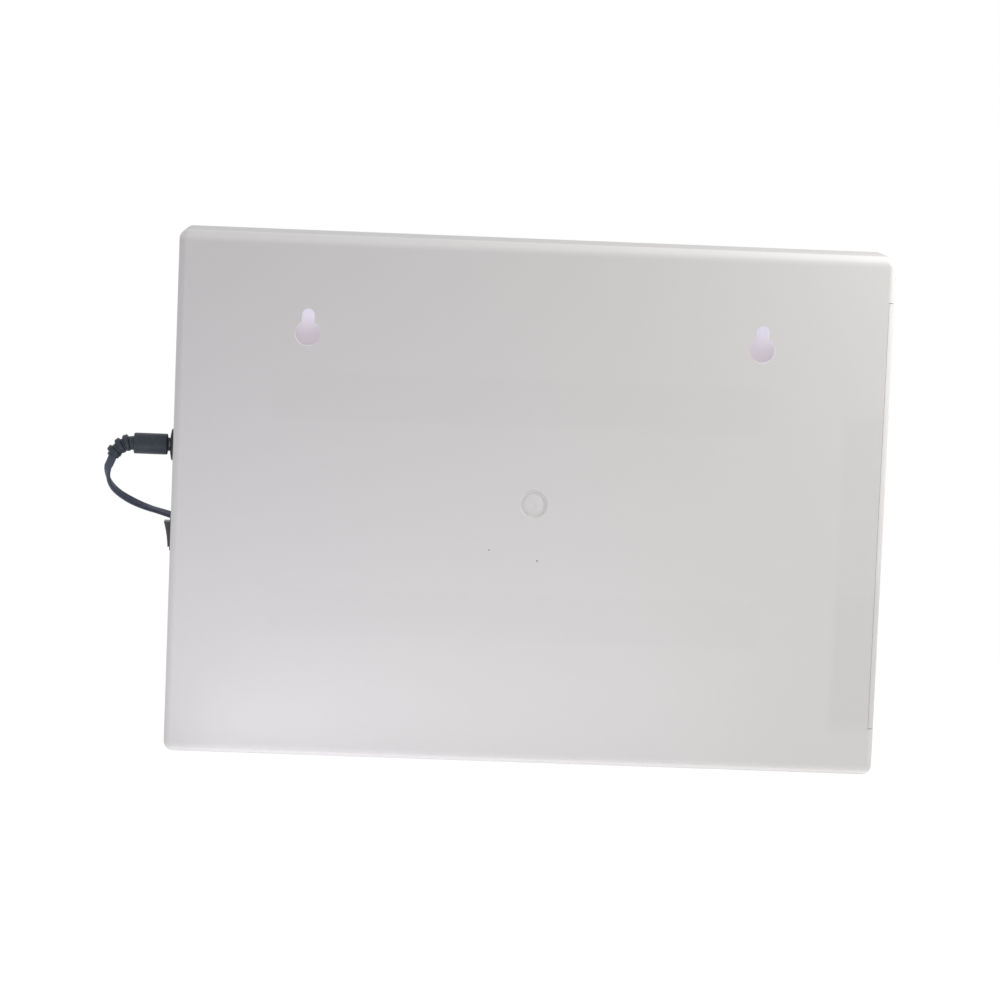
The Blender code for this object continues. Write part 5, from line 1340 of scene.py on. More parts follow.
    def _is_keyhole_rim(self, edge: bmesh.types.BMEdge) -> bool:
        """Whether an edge is where a keyhole opens in the back."""
        middle = (edge.verts[0].co + edge.verts[1].co) / 2
        reach = self.keyhole_radius + self.slot_rise
        near = any(abs(middle.x - x) < reach and abs(middle.z - z) < 2 * reach for x, z in self.keyholes)
        return near and at(Axis.Y, self.case.back_y)(edge) and creased(edge)

    def _is_seam(self, edge: bmesh.types.BMEdge) -> bool:
        """Whether an edge is where the cover's seat meets the case's outside."""
        case = self.case
        low_z = min(end.co.z for end in edge.verts)
        high_z = max(end.co.z for end in edge.verts)
        outside = all(end.co.x > case.seat_x - TINY for end in edge.verts)
        across = at(Axis.Z, case.seat_low_z)(edge) or at(Axis.Z, case.seat_high_z)(edge)
        front = at(Axis.Y, case.seat_front_y)(edge) and at(Axis.X, case.width / 2)(edge)
        back = at(Axis.X, case.seat_x)(edge) and all(end.co.y < case.back_y + case.back_reach for end in edge.verts)
        within = low_z > case.seat_low_z - NEAR and high_z < case.seat_high_z + NEAR
        edge_out = any(abs(face.normal.z) < 0.5 for face in edge.link_faces)
        return creased(edge) and outside and within and ((across and edge_out) or front or back)


@dataclass(frozen=True)
class FrontFrame:
    """The rim around the letter panel, with the skirt and the hooks that hold it in the housing."""

    case: CaseSizes = CaseSizes()
    back_y: float = 0.0173
    border: float = 0.0090
    fillet: float = 0.0010
    edge: float = 0.00020
    window_radius: float = 0.0010
    window_edge: float = 0.0006
    lip: float = 0.0025
    panel_radius: float = 0.0015

    def build(self) -> None:
        """Makes the frame and dresses it."""
        case = self.case
        plate = case.slab(0.0, case.corner, self.back_y, case.rim_y)
        plate.round_off(plate.edges(at(Axis.Y, case.rim_y)), self.fillet, 5)
        plate.round_off(plate.edges(at(Axis.Y, self.back_y)), self.edge, 2)
        rim = plate.solid("front_rim")
        inset = case.wall + case.gap
        skirt = case.slab(inset, case.inner_corner - case.gap, case.skirt_end_y, self.back_y + 2 * case.lap)
        worked(rim, Operation.JOIN, skirt.solid("skirt"), self._hooks())
        start = case.skirt_end_y - case.hook_length - case.overrun
        rebate = case.slab(inset + case.skirt_wall, self.panel_radius, start, case.rim_y - self.lip)
        window = case.slab(self.border, self.window_radius, start, case.rim_y + case.overrun)
        worked(rim, Operation.CUT, rebate.solid("rebate"), window.solid("window"))
        form = reopened(rim)
        inside = case.width / 2 - self.border
        mouth = form.edges(
            lambda edge: at(Axis.Y, case.rim_y)(edge)
            and creased(edge)
            and all(abs(end.co.x) < inside + TINY for end in edge.verts)
        )
        form.round_off(mouth, self.window_edge, 4)
        finish = MouldedAbs("white_abs_frame")
        Dress(Body.CASE, "frame_white", finish, ("front_frame",)).put_on(form.solid("rim_frame"))

    def _hooks(self) -> bpy.types.Object:
        """The snap hooks that reach back from the skirt."""
        case = self.case
        end = case.skirt_end_y - case.hook_length
        inner = case.gap + case.skirt_wall + case.lap
        section = (
            (case.gap, case.skirt_end_y + case.lap),
            (case.gap, end + 2 * case.hook_ramp),
            (case.gap - case.hook_barb, end + case.hook_ramp),
            (case.gap, end),
            (inner, end),
            (inner, case.skirt_end_y + case.lap),
        )
        sites = case.wall_sites(case.hook_shares, case.side_hook_shares)
        return case.on_walls(section, case.hook_width, sites).solid("hooks")


@dataclass(frozen=True)
class BatteryCover:
    """The long cover on the right side: a length of the case's outside, with its rim and its pegs."""

    case: CaseSizes = CaseSizes()
    gap: float = 0.0005
    rim: float = 0.0012
    rim_depth: float = 0.0015
    edge: float = 0.00018
    seam: float = 0.00010
    shade_reach: float = 0.004

    def build(self) -> None:
        """Makes the cover and dresses it, with painted shade low down over the cell bay."""
        case = self.case
        cover = case.outside().solid("cover_outside")
        low = (case.seat_x + self.seam, case.back_y - case.overrun, case.seat_low_z + 2 * self.seam)
        high = (case.width / 2 + case.overrun, case.seat_front_y - self.gap, case.seat_high_z - 2 * self.seam)
        worked(cover, Operation.KEEP, cuboid("cover_part", low, high))
        form = reopened(cover)
        form.round_off(form.edges(lambda edge: creased(edge) and not at(Axis.X, low[0])(edge)), self.edge, 3)
        back_limit = case.back_y + case.back_reach
        back_edges = [edge for edge in form.edges(at(Axis.X, low[0])) if edge.verts[0].co.y < back_limit]
        form.round_off([edge for edge in back_edges if creased(edge)], self.edge / 2, 2)
        cover = form.solid("cover")
        worked(cover, Operation.JOIN, self._rim(low[0] + case.lap), self._pegs(low[0] + case.lap))
        # Painted shade low down, where the light falls off.
        start_x, end_x = case.seat_x - self.shade_reach, case.width / 2 + self.shade_reach
        low_bay_shade = ShadeBand(start_x, end_x, low_z=0.024, high_z=0.078, soft=0.010, depth=0.070)
        finish = MouldedAbs("white_abs_cover", shade_bands=(low_bay_shade,))
        Dress(Body.COVER, "cover_white", finish, ("battery_cover",)).put_on(cover)

    def _rim(self, back_x: float) -> bpy.types.Object:
        """The two long ribs that find the bay's mouth."""
        case = self.case
        low_y = case.bay_low[1] + self.gap
        high_y = case.bay_high[1] - self.gap
        form = Form()
        for start, end in ((low_y, low_y + self.rim), (high_y - self.rim, high_y)):
            low = (case.seat_x - self.rim_depth, start, case.bay_low[2] + self.gap)
            form.block(low, (back_x, end, case.bay_high[2] - self.gap))
        return form.solid("cover_rim")

    def _pegs(self, back_x: float) -> bpy.types.Object:
        """The four pegs that snap into the ledges."""
        case = self.case
        return case.pegs(0.0, case.seat_x + case.gap - case.peg_length, back_x).solid("cover_pegs")


@dataclass(frozen=True)
class LightPanel:
    """What shines: the milky panel, the clear rails on it, and the light strips behind it."""

    panel: str = "diffuser_panel"
    rails: tuple[str, ...] = ("rail_bottom", "rail_lower_middle", "rail_upper_middle", "rail_top")
    strips: tuple[str, ...] = ("led_strip_lower", "led_strip_upper")

    def build(self) -> None:
        """Dresses the solids of the panel, the rails and the strips."""
        paint_nodes(MilkySheet("opal_acrylic"), self.panel)
        paint_nodes(ClearStyrene("clear_styrene"), *self.rails)
        paint_nodes(LightStrip("light_strip_board"), *self.strips)


@dataclass(frozen=True)
class CellContacts:
    """The contacts of the cell bay: two plates, and a conical spring for each row of cells."""

    plates: tuple[str, ...] = ("contact_negative", "contact_positive")
    springs: tuple[str, ...] = ("battery_spring_back", "battery_spring_front")
    wire: float = 0.0007
    wire_steps: int = 14
    turns: int = 5
    foot_radius: float = 0.0046
    tip_radius: float = 0.0028
    height: float = 0.0088
    points_per_turn: int = 32

    def build(self) -> None:
        """Dresses the plates, and makes each spring again with a round, smooth wire."""
        metal = PlatedMetal("plated_contact")
        paint_nodes(metal, *self.plates)
        for name in self.springs:
            low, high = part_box(name)
            centre = ((low.x + high.x) / 2, (low.y + high.y) / 2, low.z)
            form = Form()
            section = circle(self.wire / 2, self.wire_steps)
            form.swept(section, carried(self._line(centre), Vector((0, 0, 1))))
            dress = Dress(Body.CASE, "contact_nickel", metal, (name,), sharp=math.radians(60), flat_faces=False)
            dress.put_on(form.solid(name + "_wound"))

    def _line(self, centre: Place) -> list[Vector]:
        """The spring's line.

        Args:
            centre: The middle of its foot, on the plate.

        Returns:
            Points from its foot to its tip.
        """
        steps = self.turns * self.points_per_turn
        line = []
        for step in range(steps + 1):
            share = step / steps
            angle = math.tau * self.turns * share
            radius = between(self.foot_radius, self.tip_radius, share)
            rise = self.wire / 2 + (self.height - self.wire) * share
            line.append(Vector(centre) + Vector((radius * math.cos(angle), radius * math.sin(angle), rise)))
        return line


def circle(radius: float, steps: int) -> list[Vector]:
    """The points of a circle about the origin."""
    form = bmesh.new()
    made = bmesh.ops.create_circle(form, cap_ends=False, radius=radius, segments=steps)["verts"]
    points = [vert.co.copy() for vert in made]
    form.free()
    return points


def heading_at(line: Sequence[Vector], index: int) -> Vector:
    """The direction of a line at one of its points."""
    return (line[min(index + 1, len(line) - 1)] - line[max(index - 1, 0)]).normalized()


def carried(line: Sequence[Vector], wide: Vector | Sequence[Vector]) -> list[Matrix]:
    """The transforms that carry a section along a line.

    Args:
        line: The line's points.
        wide: The direction, or one for each point, that the section's X keeps to.

    Returns:
        A transform for each point: X to the wide direction, Z along the line.
    """
    stations = []
    for index, place in enumerate(line):
        heading = heading_at(line, index)
        hint = wide if isinstance(wide, Vector) else wide[index]
        across = (hint - heading * hint.dot(heading)).normalized()
        thin = heading.cross(across)
        matrix = Matrix((across, thin, heading)).transposed().to_4x4()
        matrix.translation = place
        stations.append(matrix)
    return stations


@dataclass(frozen=True)
class PowerSocket:
    """The socket in the left side: a domed flange outside, and behind it the barrel, nut, pin and tags."""

    centre: Triple = (-0.1503, 0.0, 0.1279)
    profile: tuple[tuple[float, float], ...] = (
        (0.00205, 0.0077),
        (0.00205, -0.0014),
        (0.00245, -0.0018),
        (0.00300, -0.0018),
        (0.00438, -0.00166),
        (0.00568, -0.00142),
        (0.00670, -0.00110),
        (0.00670, 0.0),
        (0.00400, 0.0),
        (0.00400, 0.0085),
        (0.00330, 0.0085),
        (0.00330, 0.0130),
        (0.00085, 0.0130),
        (0.00085, 0.0077),
    )
    edge: float = 0.00012
    steps: int = 72
    metal_nodes: tuple[str, ...] = ("jack_nut",)
    brass_nodes: tuple[str, ...] = ("jack_pin", "jack_tag_sleeve", "jack_tag_break")

    def build(self) -> None:
        """Turns the socket's body and dresses its metal."""
        form = Form()
        form.turned(self.profile, self.centre, (1, 0, 0), self.steps)
        form.round_off(form.edges(lambda edge: creased(edge, math.radians(30))), self.edge, 2)
        finish = BlackNylon("black_nylon_socket")
        Dress(Body.CASE, "jack_black", finish, ("jack_body",)).put_on(form.solid("socket"))
        paint_nodes(PlatedMetal("plated_nut"), *self.metal_nodes)
        paint_nodes(BRIGHT_BRASS, *self.brass_nodes)


@dataclass(frozen=True)
class RockerSwitch:
    """The switch in the left side: a thin bezel and its body, with a rocker on a pin."""

    centre: tuple[float, float] = (0.0, 0.0906)
    seat_x: float = -0.1503
    face_x: float = -0.1510
    bezel: tuple[float, float] = (0.0106, 0.0150)
    bezel_radius: float = 0.0010
    bezel_edge: float = 0.0003
    lip_edge: float = 0.00015
    body: tuple[float, float] = (0.0086, 0.0130)
    end_x: float = -0.1378
    mouth: tuple[float, float] = (0.0077, 0.0128)
    cavity: tuple[float, float] = (0.0074, 0.0118)
    floor: float = 0.0020
    pivot_x: float = -0.1488
    pivot_bore: float = 0.0010
    pivot_radius: float = 0.0007
    pivot_reach: float = 0.0040
    pivot_steps: int = 32
    lap: float = 0.0004
    overrun: float = 0.010
    rocker_width: float = 0.0066
    half_length: float = 0.0056
    crown: float = 0.0037
    rise: float = 0.00035
    face_steps: int = 14
    sides: tuple[tuple[float, float], ...] = ((0.0006, 0.0049), (-0.0014, 0.0022), (-0.0034, 0.0012))
    rocker_edge: float = 0.0003
    tilt: float = math.radians(9.75)
    tags: tuple[str, ...] = ("switch_tag_upper", "switch_tag_lower")

    def build(self) -> None:
        """Makes the housing and the rocker, and dresses the tags."""
        self._housing()
        self._rocker()
        paint_nodes(BRIGHT_BRASS, *self.tags)

    def _box(self, size: tuple[float, float], start_x: float, end_x: float, radius: float = 0.0) -> Form:
        """A block across the switch's axis, with its long edges rounded if it has a radius."""
        y, z = self.centre
        form = Form()
        form.block((start_x, y - size[0] / 2, z - size[1] / 2), (end_x, y + size[0] / 2, z + size[1] / 2))
        if radius > 0:
            form.round_off(form.edges(along(Axis.X)), radius, 6)
        return form

    def _housing(self) -> None:
        """The bezel with its soft edge, the body behind it, the mouth, and the pin's holes."""
        bezel = self._box(self.bezel, self.face_x, self.seat_x, self.bezel_radius)
        bezel.round_off(bezel.edges(at(Axis.X, self.face_x)), self.bezel_edge, 4)
        housing = bezel.solid("switch_bezel")
        body = self._box(self.body, self.seat_x - self.lap, self.end_x, self.bezel_edge)
        worked(housing, Operation.JOIN, body.solid("switch_body"))
        mouth = self._box(self.mouth, self.face_x - self.overrun, self.seat_x - self.lap)
        cavity = self._box(self.cavity, self.face_x - self.overrun / 2, self.end_x - self.floor)
        y, z = self.centre
        start, end = ((self.pivot_x, y + side * self.bezel[0], z) for side in (-1, 1))
        bore = cylinder("pivot_bore", start, end, self.pivot_bore, self.pivot_steps)
        worked(housing, Operation.CUT, mouth.solid("mouth"), cavity.solid("switch_room"), bore)
        form = reopened(housing)
        lip = form.edges(lambda edge: at(Axis.X, self.face_x)(edge) and creased(edge))
        form.round_off(lip, self.lip_edge, 2)
        finish = BlackNylon("black_nylon_switch")
        Dress(Body.CASE, "switch_black", finish, ("switch_housing",)).put_on(form.solid("switch_case"))

    def _rocker(self) -> None:
        """The rocker, hollow-faced, tipped so that its upper end stands out, with its stub pins."""
        face = []
        for step in range(self.face_steps + 1):
            share = 1 - 2 * step / self.face_steps
            face.append((self.crown + self.rise * share * share, self.half_length * share))
        lower = [(outwards, -up) for outwards, up in self.sides]
        outline = face + lower + list(reversed(self.sides))
        half = self.rocker_width / 2
        form = Form()
        form.prism([(-outwards, -half, up) for outwards, up in outline], (0, self.rocker_width, 0))
        bmesh.ops.recalc_face_normals(form.bm, faces=form.bm.faces)
        form.round_off(form.edges(self._is_rocker_rim), self.rocker_edge, 4)
        rocker = form.solid("rocker")
        start, end = (0, -self.pivot_reach, 0), (0, self.pivot_reach, 0)
        pins = cylinder("rocker_pins", start, end, self.pivot_radius, self.pivot_steps)
        worked(rocker, Operation.JOIN, pins)
        turn = Matrix.Rotation(-self.tilt, 4, "Y")
        rocker.data.transform(Matrix.Translation((self.pivot_x, *self.centre)) @ turn)
        # Lighter than the other black nylon: partly the rocker's own charcoal, partly painted highlight for the
        # light on its face.
        finish = BlackNylon(
            "black_nylon_rocker_painted_highlight", colour=(0.070, 0.073, 0.081), dust=(0.165, 0.170, 0.182), roughness=0.34
        )
        Dress(Body.ROCKER, "rocker_black", finish, ("switch_rocker",)).put_on(rocker)

    def _is_rocker_rim(self, edge: bmesh.types.BMEdge) -> bool:
        """Whether an edge goes round the rocker's pressed face."""
        outer = all(end.co.x < -self.crown + self.rise for end in edge.verts)
        return outer and creased(edge, math.radians(45))


@dataclass(frozen=True)
class Plug:
    """The plug in the socket: a metal sleeve, an overmoulded grip, and a ribbed relief that bends down."""

    face: Triple = (-0.1531, 0.0, 0.1279)
    radius: float = 0.00445
    length: float = 0.0143
    edge: float = 0.0006
    edge_steps: int = 6
    relief_length: float = 0.0113
    bend: float = math.radians(68)
    core: tuple[float, float] = (0.0030, 0.0025)
    rib: tuple[float, float] = (0.0037, 0.0032)
    rib_lift: float = 0.0004
    rib_width: float = 0.0023
    rib_edge: float = 0.0006
    rib_shares: tuple[float, ...] = (0.26, 0.51, 0.81)
    relief_steps: int = 96
    sides: int = 48
    sleeve: tuple[tuple[float, float], ...] = (
        (0.0, 0.0030),
        (0.00085, 0.0030),
        (0.00085, 0.0119),
        (0.00100, 0.0122),
        (0.00145, 0.0122),
        (0.00165, 0.0121),
        (0.00175, 0.0119),
        (0.00175, 0.0),
        (0.0, 0.0),
    )
    sleeve_root: float = 0.0030
    collar: tuple[float, float] = (0.0008, 0.0029)
    tip_share: float = 0.6
    bore_steps: int = 40
    sleeve_steps: int = 48
    overrun: float = 0.010
    gap: float = 0.0003

    def relief(self, share: float) -> tuple[Vector, Vector]:
        """A place on the relief's bent axis.

        Args:
            share: How far along the relief, from 0 to 1.

        Returns:
            The place, and the heading there.
        """
        turned = self.bend * share
        swing = self.relief_length / self.bend
        start = Vector(self.face) - Vector((self.length, 0, 0))
        place = start + Vector((-swing * math.sin(turned), 0, -swing * (1 - math.cos(turned))))
        return place, Vector((-math.cos(turned), 0, -math.sin(turned)))

    def rib_height(self, share: float) -> float:
        """How far up a rib a place on the relief is: 0 between the ribs, 1 on a rib's crown."""
        half = self.rib_width / 2 / self.relief_length
        soft = self.rib_edge / self.relief_length
        lift = 0.0
        for middle in self.rib_shares:
            inside = (half - abs(share - middle)) / soft
            lift = max(lift, math.sin(min(max(inside, 0.0), 1.0) * math.pi / 2))
        return lift

    def _relief_ring(self, share: float) -> Matrix:
        """A ring of the relief: a tapering core, and round-shouldered ribs that stand out more above."""
        place, heading = self.relief(share)
        height = self.rib_height(share)
        radius = between(between(*self.core, share), between(*self.rib, share), height)
        outward = Vector((heading.z, 0.0, -heading.x))
        return ring(place + outward * self.rib_lift * height, heading, radius)

    def _stations(self) -> list[Matrix]:
        """The rings of the grip and the relief, from the plug's face to the relief's end."""
        face = Vector(self.face)
        rings = []
        angles = [math.pi / 2 * step / self.edge_steps for step in range(self.edge_steps + 1)]
        for angle in angles:
            rings.append((self.edge * (1 - math.cos(angle)), self.radius - self.edge * (1 - math.sin(angle))))
        for angle in angles:
            along_body = self.length - self.edge * (1 - math.sin(angle))
            rings.append((along_body - TINY, self.radius - self.edge * (1 - math.cos(angle))))
        stations = [ring(face - Vector((reach, 0, 0)), Vector((-1, 0, 0)), radius) for reach, radius in rings]
        for step in range(1, self.relief_steps + 1):
            stations.append(self._relief_ring(step / self.relief_steps))
        place, heading = self.relief(1.0)
        return [*stations, ring(place + heading * TINY, heading, self.core[1] * self.tip_share)]

    def build(self) -> None:
        """Makes the grip with its relief and the collar in front of it, and the sleeve."""
        form = Form()
        form.swept(circle(1.0, self.sides), self._stations())
        grip = form.solid("plug_grip")
        face = Vector(self.face)
        reach, across = self.collar
        start, end = face - Vector((reach, 0, 0)), face + Vector((reach, 0, 0))
        worked(grip, Operation.JOIN, cylinder("plug_collar", start, end, across, self.bore_steps))
        radius = self.sleeve[-2][0] + self.gap
        start, end = face + Vector((self.overrun, 0, 0)), face - Vector((self.sleeve_root, 0, 0))
        worked(grip, Operation.CUT, cylinder("plug_bore", start, end, radius, self.bore_steps))
        finish = FlexiblePvc("slate_pvc_plug")
        Dress(Body.LEAD, "plug_pvc", finish, ("plug_body",), flat_faces=False).put_on(grip)
        metal = Form()
        start = face - Vector((self.sleeve_root - self.gap, 0, 0))
        metal.turned(self.sleeve, start, (1, 0, 0), self.sleeve_steps)
        sleeve = Dress(Body.LEAD, "sleeve_nickel", PlatedMetal("plated_sleeve"), ("plug_sleeve",))
        sleeve.put_on(metal.solid("sleeve"))


def ring(place: Vector, heading: Vector, radius: float) -> Matrix:
    """The transform of a unit circle to a place across a heading, with a radius."""
    level = Vector((0, 1, 0))
    matrix = Matrix((level, heading.cross(level), heading)).transposed().to_4x4()
    matrix.translation = place
    return matrix @ Matrix.Diagonal((radius, radius, 1.0, 1.0))


@dataclass(frozen=True)
class Coil:
    """The spare lead, wound in two layers and lying on the table behind the box."""

    centre: tuple[float, float] = (-0.0700, 0.0485)
    radius: float = 0.0240
    pitch: float = 0.0039
    layers: tuple[float, float] = (0.0026, 0.0065)
    turns: float = 6.5
    climb_turns: float = 0.5
    points_per_turn: int = 72
    straight: float = 0.0034

    def line(self) -> list[Vector]:
        """The coil's unbroken line: in along the lower layer, up, and out along the upper one."""
        steps = round(self.turns * self.points_per_turn)
        places = []
        for step in range(steps + 1):
            turn = step / self.points_per_turn
            reach = self.radius - self.pitch * min(turn, self.turns - turn)
            angle = math.tau * turn - math.pi / 2
            level = between(*self.layers, eased((turn - (self.turns - self.climb_turns) / 2) / self.climb_turns))
            flat = (self.centre[0] + reach * math.cos(angle), self.centre[1] + reach * math.sin(angle))
            places.append(Vector((*flat, level)))
        aside = Vector((self.straight, 0, 0))
        return [places[0] - aside, *places, places[-1] - aside]


@dataclass(frozen=True)
class Lead:
    """A flat twin lead, one unbroken tube from the relief to the plug on its far end."""

    plug: Plug = Plug()
    coil: Coil = Coil()
    width: float = 0.0036
    thickness: float = 0.0018
    waist: float = 0.66
    core_steps: int = 24
    length: float = 0.944
    spacing: float = 0.0015
    tail: Triple = (-0.0283, -0.0063, 0.0040)
    buried: float = 0.0010
    places: tuple[Triple, ...] = (
        (-0.17820, 0.0006, 0.1174),
        (-0.17840, 0.0017, 0.1148),
        (-0.17790, 0.0032, 0.1118),
        (-0.17650, 0.0050, 0.1089),
        (-0.17420, 0.0074, 0.1062),
        (-0.17080, 0.0104, 0.1035),
        (-0.16630, 0.0142, 0.1008),
        (-0.16090, 0.0184, 0.0983),
        (-0.15600, 0.0219, 0.0965),
        (-0.15050, 0.0253, 0.0945),
        (-0.14440, 0.0283, 0.0923),
        (-0.13880, 0.0312, 0.0862),
        (-0.13360, 0.0328, 0.0770),
        (-0.12900, 0.0333, 0.0655),
        (-0.12460, 0.0328, 0.0525),
        (-0.11980, 0.0316, 0.0390),
        (-0.11400, 0.0299, 0.0262),
        (-0.10700, 0.0279, 0.0148),
        (-0.09860, 0.0259, 0.0070),
        (-0.08900, 0.0247, 0.0035),
    )
    twist: tuple[tuple[float, float], ...] = (
        (0.0, 0.0),
        (0.004, 8.0),
        (0.010, 76.0),
        (0.0175, 118.0),
        (0.0285, 138.0),
        (0.042, 112.0),
        (0.060, 140.0),
        (0.110, 180.0),
        (0.200, 180.0),
    )

    def build(self, riders: Sequence[bpy.types.Object | str]) -> None:
        """Args:
            riders: The pieces on it. Not used.
        """
        line, joint = self.line()
        form = Form()
        form.swept(self._section(), carried(line, self._wide(line, joint)))
        nodes = ("lead_cord", "lead_coil", "lead_tail")
        finish = FlexiblePvc("slate_pvc_lead", colour=(0.055, 0.068, 0.110), worn=(0.080, 0.098, 0.146))
        dress = Dress(Body.LEAD, "lead_pvc", finish, nodes, sharp=math.radians(80), flat_faces=False)
        lead = dress.put_on(form.solid("flat_twin_lead"))
        end, _ = self.plug.relief(1.0)

    def line(self) -> tuple[list[Vector], float]:
        """The lead's middle, evenly spaced.

        Returns:
            Its points, and the distance along it at which the coil starts.
        """
        end, heading = self.plug.relief(1.0)
        coil = self.coil.line()
        run = straight_ended(end, heading, self.places, coil[0], Vector((1, 0, 0)), self.width, self.spacing)
        foot = Vector((coil[-1].x + self.tail[0], coil[-1].y + self.tail[1], self.tail[2]))
        tail = straight_ended(
            coil[-1], Vector((-1, 0, 0)), (), foot, Vector((-1, 0, 0)), self.width, self.spacing
        )
        whole = [end - heading * self.buried, *run, *coil[1:], *tail[1:], foot - Vector((self.buried, 0, 0))]
        joint = sum((after - before).length for before, after in zip(run, run[1:]))
        return resampled(whole, self.spacing), joint

    def _section(self) -> list[Vector]:
        """Two round cores side by side: a circle drawn apart, and pinched at its waist."""
        half = (self.width - self.thickness) / 2
        points = circle(self.thickness / 2, self.core_steps)
        for point in points:
            if abs(point.x) < TINY:
                point.y *= self.waist
            else:
                point.x += math.copysign(half, point.x)
        return points

    def _wide(self, line: Sequence[Vector], joint: float) -> list[Vector]:
        """Which way the lead's flat side lies at each point, as it twists on its way to the coil.

        Args:
            line: The lead's points.
            joint: The distance along it at which the coil starts.

        Returns:
            The direction of its width at each point.
        """
        stops = [stop for stop, _ in self.twist]
        turns = [math.radians(turn) for _, turn in self.twist]
        wide = []
        travelled = 0.0
        for index, place in enumerate(line):
            heading = heading_at(line, index)
            travelled += (place - line[max(index - 1, 0)]).length
            if travelled < joint - self.width:
                flat = heading.cross(Vector((0, 1, 0))).normalized()
                turn = float(np.interp(travelled, stops, turns))
                hint = Quaternion(heading, turn) @ flat
            else:
                hint = Vector((0, 0, 1))
            if wide and hint.dot(wide[-1]) < 0:
                hint = -hint
            wide.append(hint)
        return wide


def resampled(line: Sequence[Vector], spacing: float) -> list[Vector]:
    """The line again, with its points evenly apart.

    Args:
        line: The points it had.
        spacing: The distance wanted between two.

    Returns:
        The new points.
    """
    corners = np.array([tuple(point) for point in line])
    lengths = np.concatenate([[0], np.cumsum(np.linalg.norm(np.diff(corners, axis=0), axis=1))])
    stops = np.linspace(0, lengths[-1], max(2, round(lengths[-1] / spacing)) + 1)
    return [Vector([float(np.interp(stop, lengths, corners[:, axis])) for axis in range(3)]) for stop in stops]


def smooth_route(places: Sequence[Place], spacing: float, first: Vector, last: Vector) -> list[Vector]:
    """A smooth curve through places, which never swings out past them.

    Args:
        places: The places that it goes through.
        spacing: The distance between the points that come back.
        first: The heading at its start.
        last: The heading at its end.

    Returns:
        The curve's points, evenly apart.
    """
    corners = np.array([tuple(place) for place in places])
    steps = np.diff(corners, axis=0)
    spans = np.linalg.norm(steps, axis=1)[:, None]
    rates = steps / spans
    slopes = np.zeros_like(corners)
    slopes[0] = first.normalized()
    slopes[-1] = last.normalized()
    before, after = rates[:-1], rates[1:]
    near, far = spans[:-1] + 2 * spans[1:], 2 * spans[:-1] + spans[1:]
    steady = before * after > 0
    share = near * np.where(steady, after, 1) + far * np.where(steady, before, 1)
    slopes[1:-1] = np.where(steady, (near + far) * before * after / share, 0)
    fine = []
    for corner, target, leave, arrive, span in zip(corners, corners[1:], slopes, slopes[1:], spans):
        for t in np.linspace(0, 1, CURVE_STEPS, endpoint=False):
            start = corner * (1 + 2 * t) * (1 - t) ** 2 + leave * span * t * (1 - t) ** 2
            fine.append(Vector(start + target * t * t * (3 - 2 * t) + arrive * span * t * t * (t - 1)))
    return resampled([*fine, Vector(corners[-1])], spacing)


def straight_ended(
    start: Vector,
    heading: Vector,
    places: Sequence[Place],
    end: Vector,
    last_heading: Vector,
    straight: float,
    spacing: float,
) -> list[Vector]:
    """A line that leaves its start and meets its end straight.

    Args:
        start: Where it starts.
        heading: Which way it leaves.
        places: What it goes through.
        end: Where it ends.
        last_heading: Which way it arrives.
        straight: How long each straight end is.
        spacing: The distance between its points.

    Returns:
        Its points.
    """
    ahead = start + heading * straight
    before = end - last_heading * straight
    return [start, *smooth_route((ahead, *places, before), spacing, heading, last_heading), end]


@dataclass(frozen=True)
class CoilTie:
    """The soft band around the coil."""

    node: str = "coil_tie"
    radius: float = 0.0025
    thickness: float = 0.0005
    edge: float = 0.00014

    def build(self) -> bpy.types.Object:
        """Makes the band: a rounded loop with a wall.

        Returns:
            The band.
        """
        low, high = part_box(self.node)
        form = Form()
        form.block(low, high)
        form.round_off(form.edges(along(Axis.Y)), self.radius, 8)
        ends = [face for face in form.bm.faces if abs(face.normal.y) > SQUARE_ON]
        bmesh.ops.delete(form.bm, geom=ends, context="FACES_ONLY")
        bmesh.ops.solidify(form.bm, geom=form.bm.faces, thickness=self.thickness)
        bmesh.ops.recalc_face_normals(form.bm, faces=form.bm.faces)
        form.round_off(form.edges(lambda edge: creased(edge, math.radians(60))), self.edge, 2)
        band = form.solid("band")
        finish = FlexiblePvc("slate_pvc_tie", roughness=0.5)
        return Dress(Body.LEAD, "tie_black", finish, (self.node,)).put_on(band)


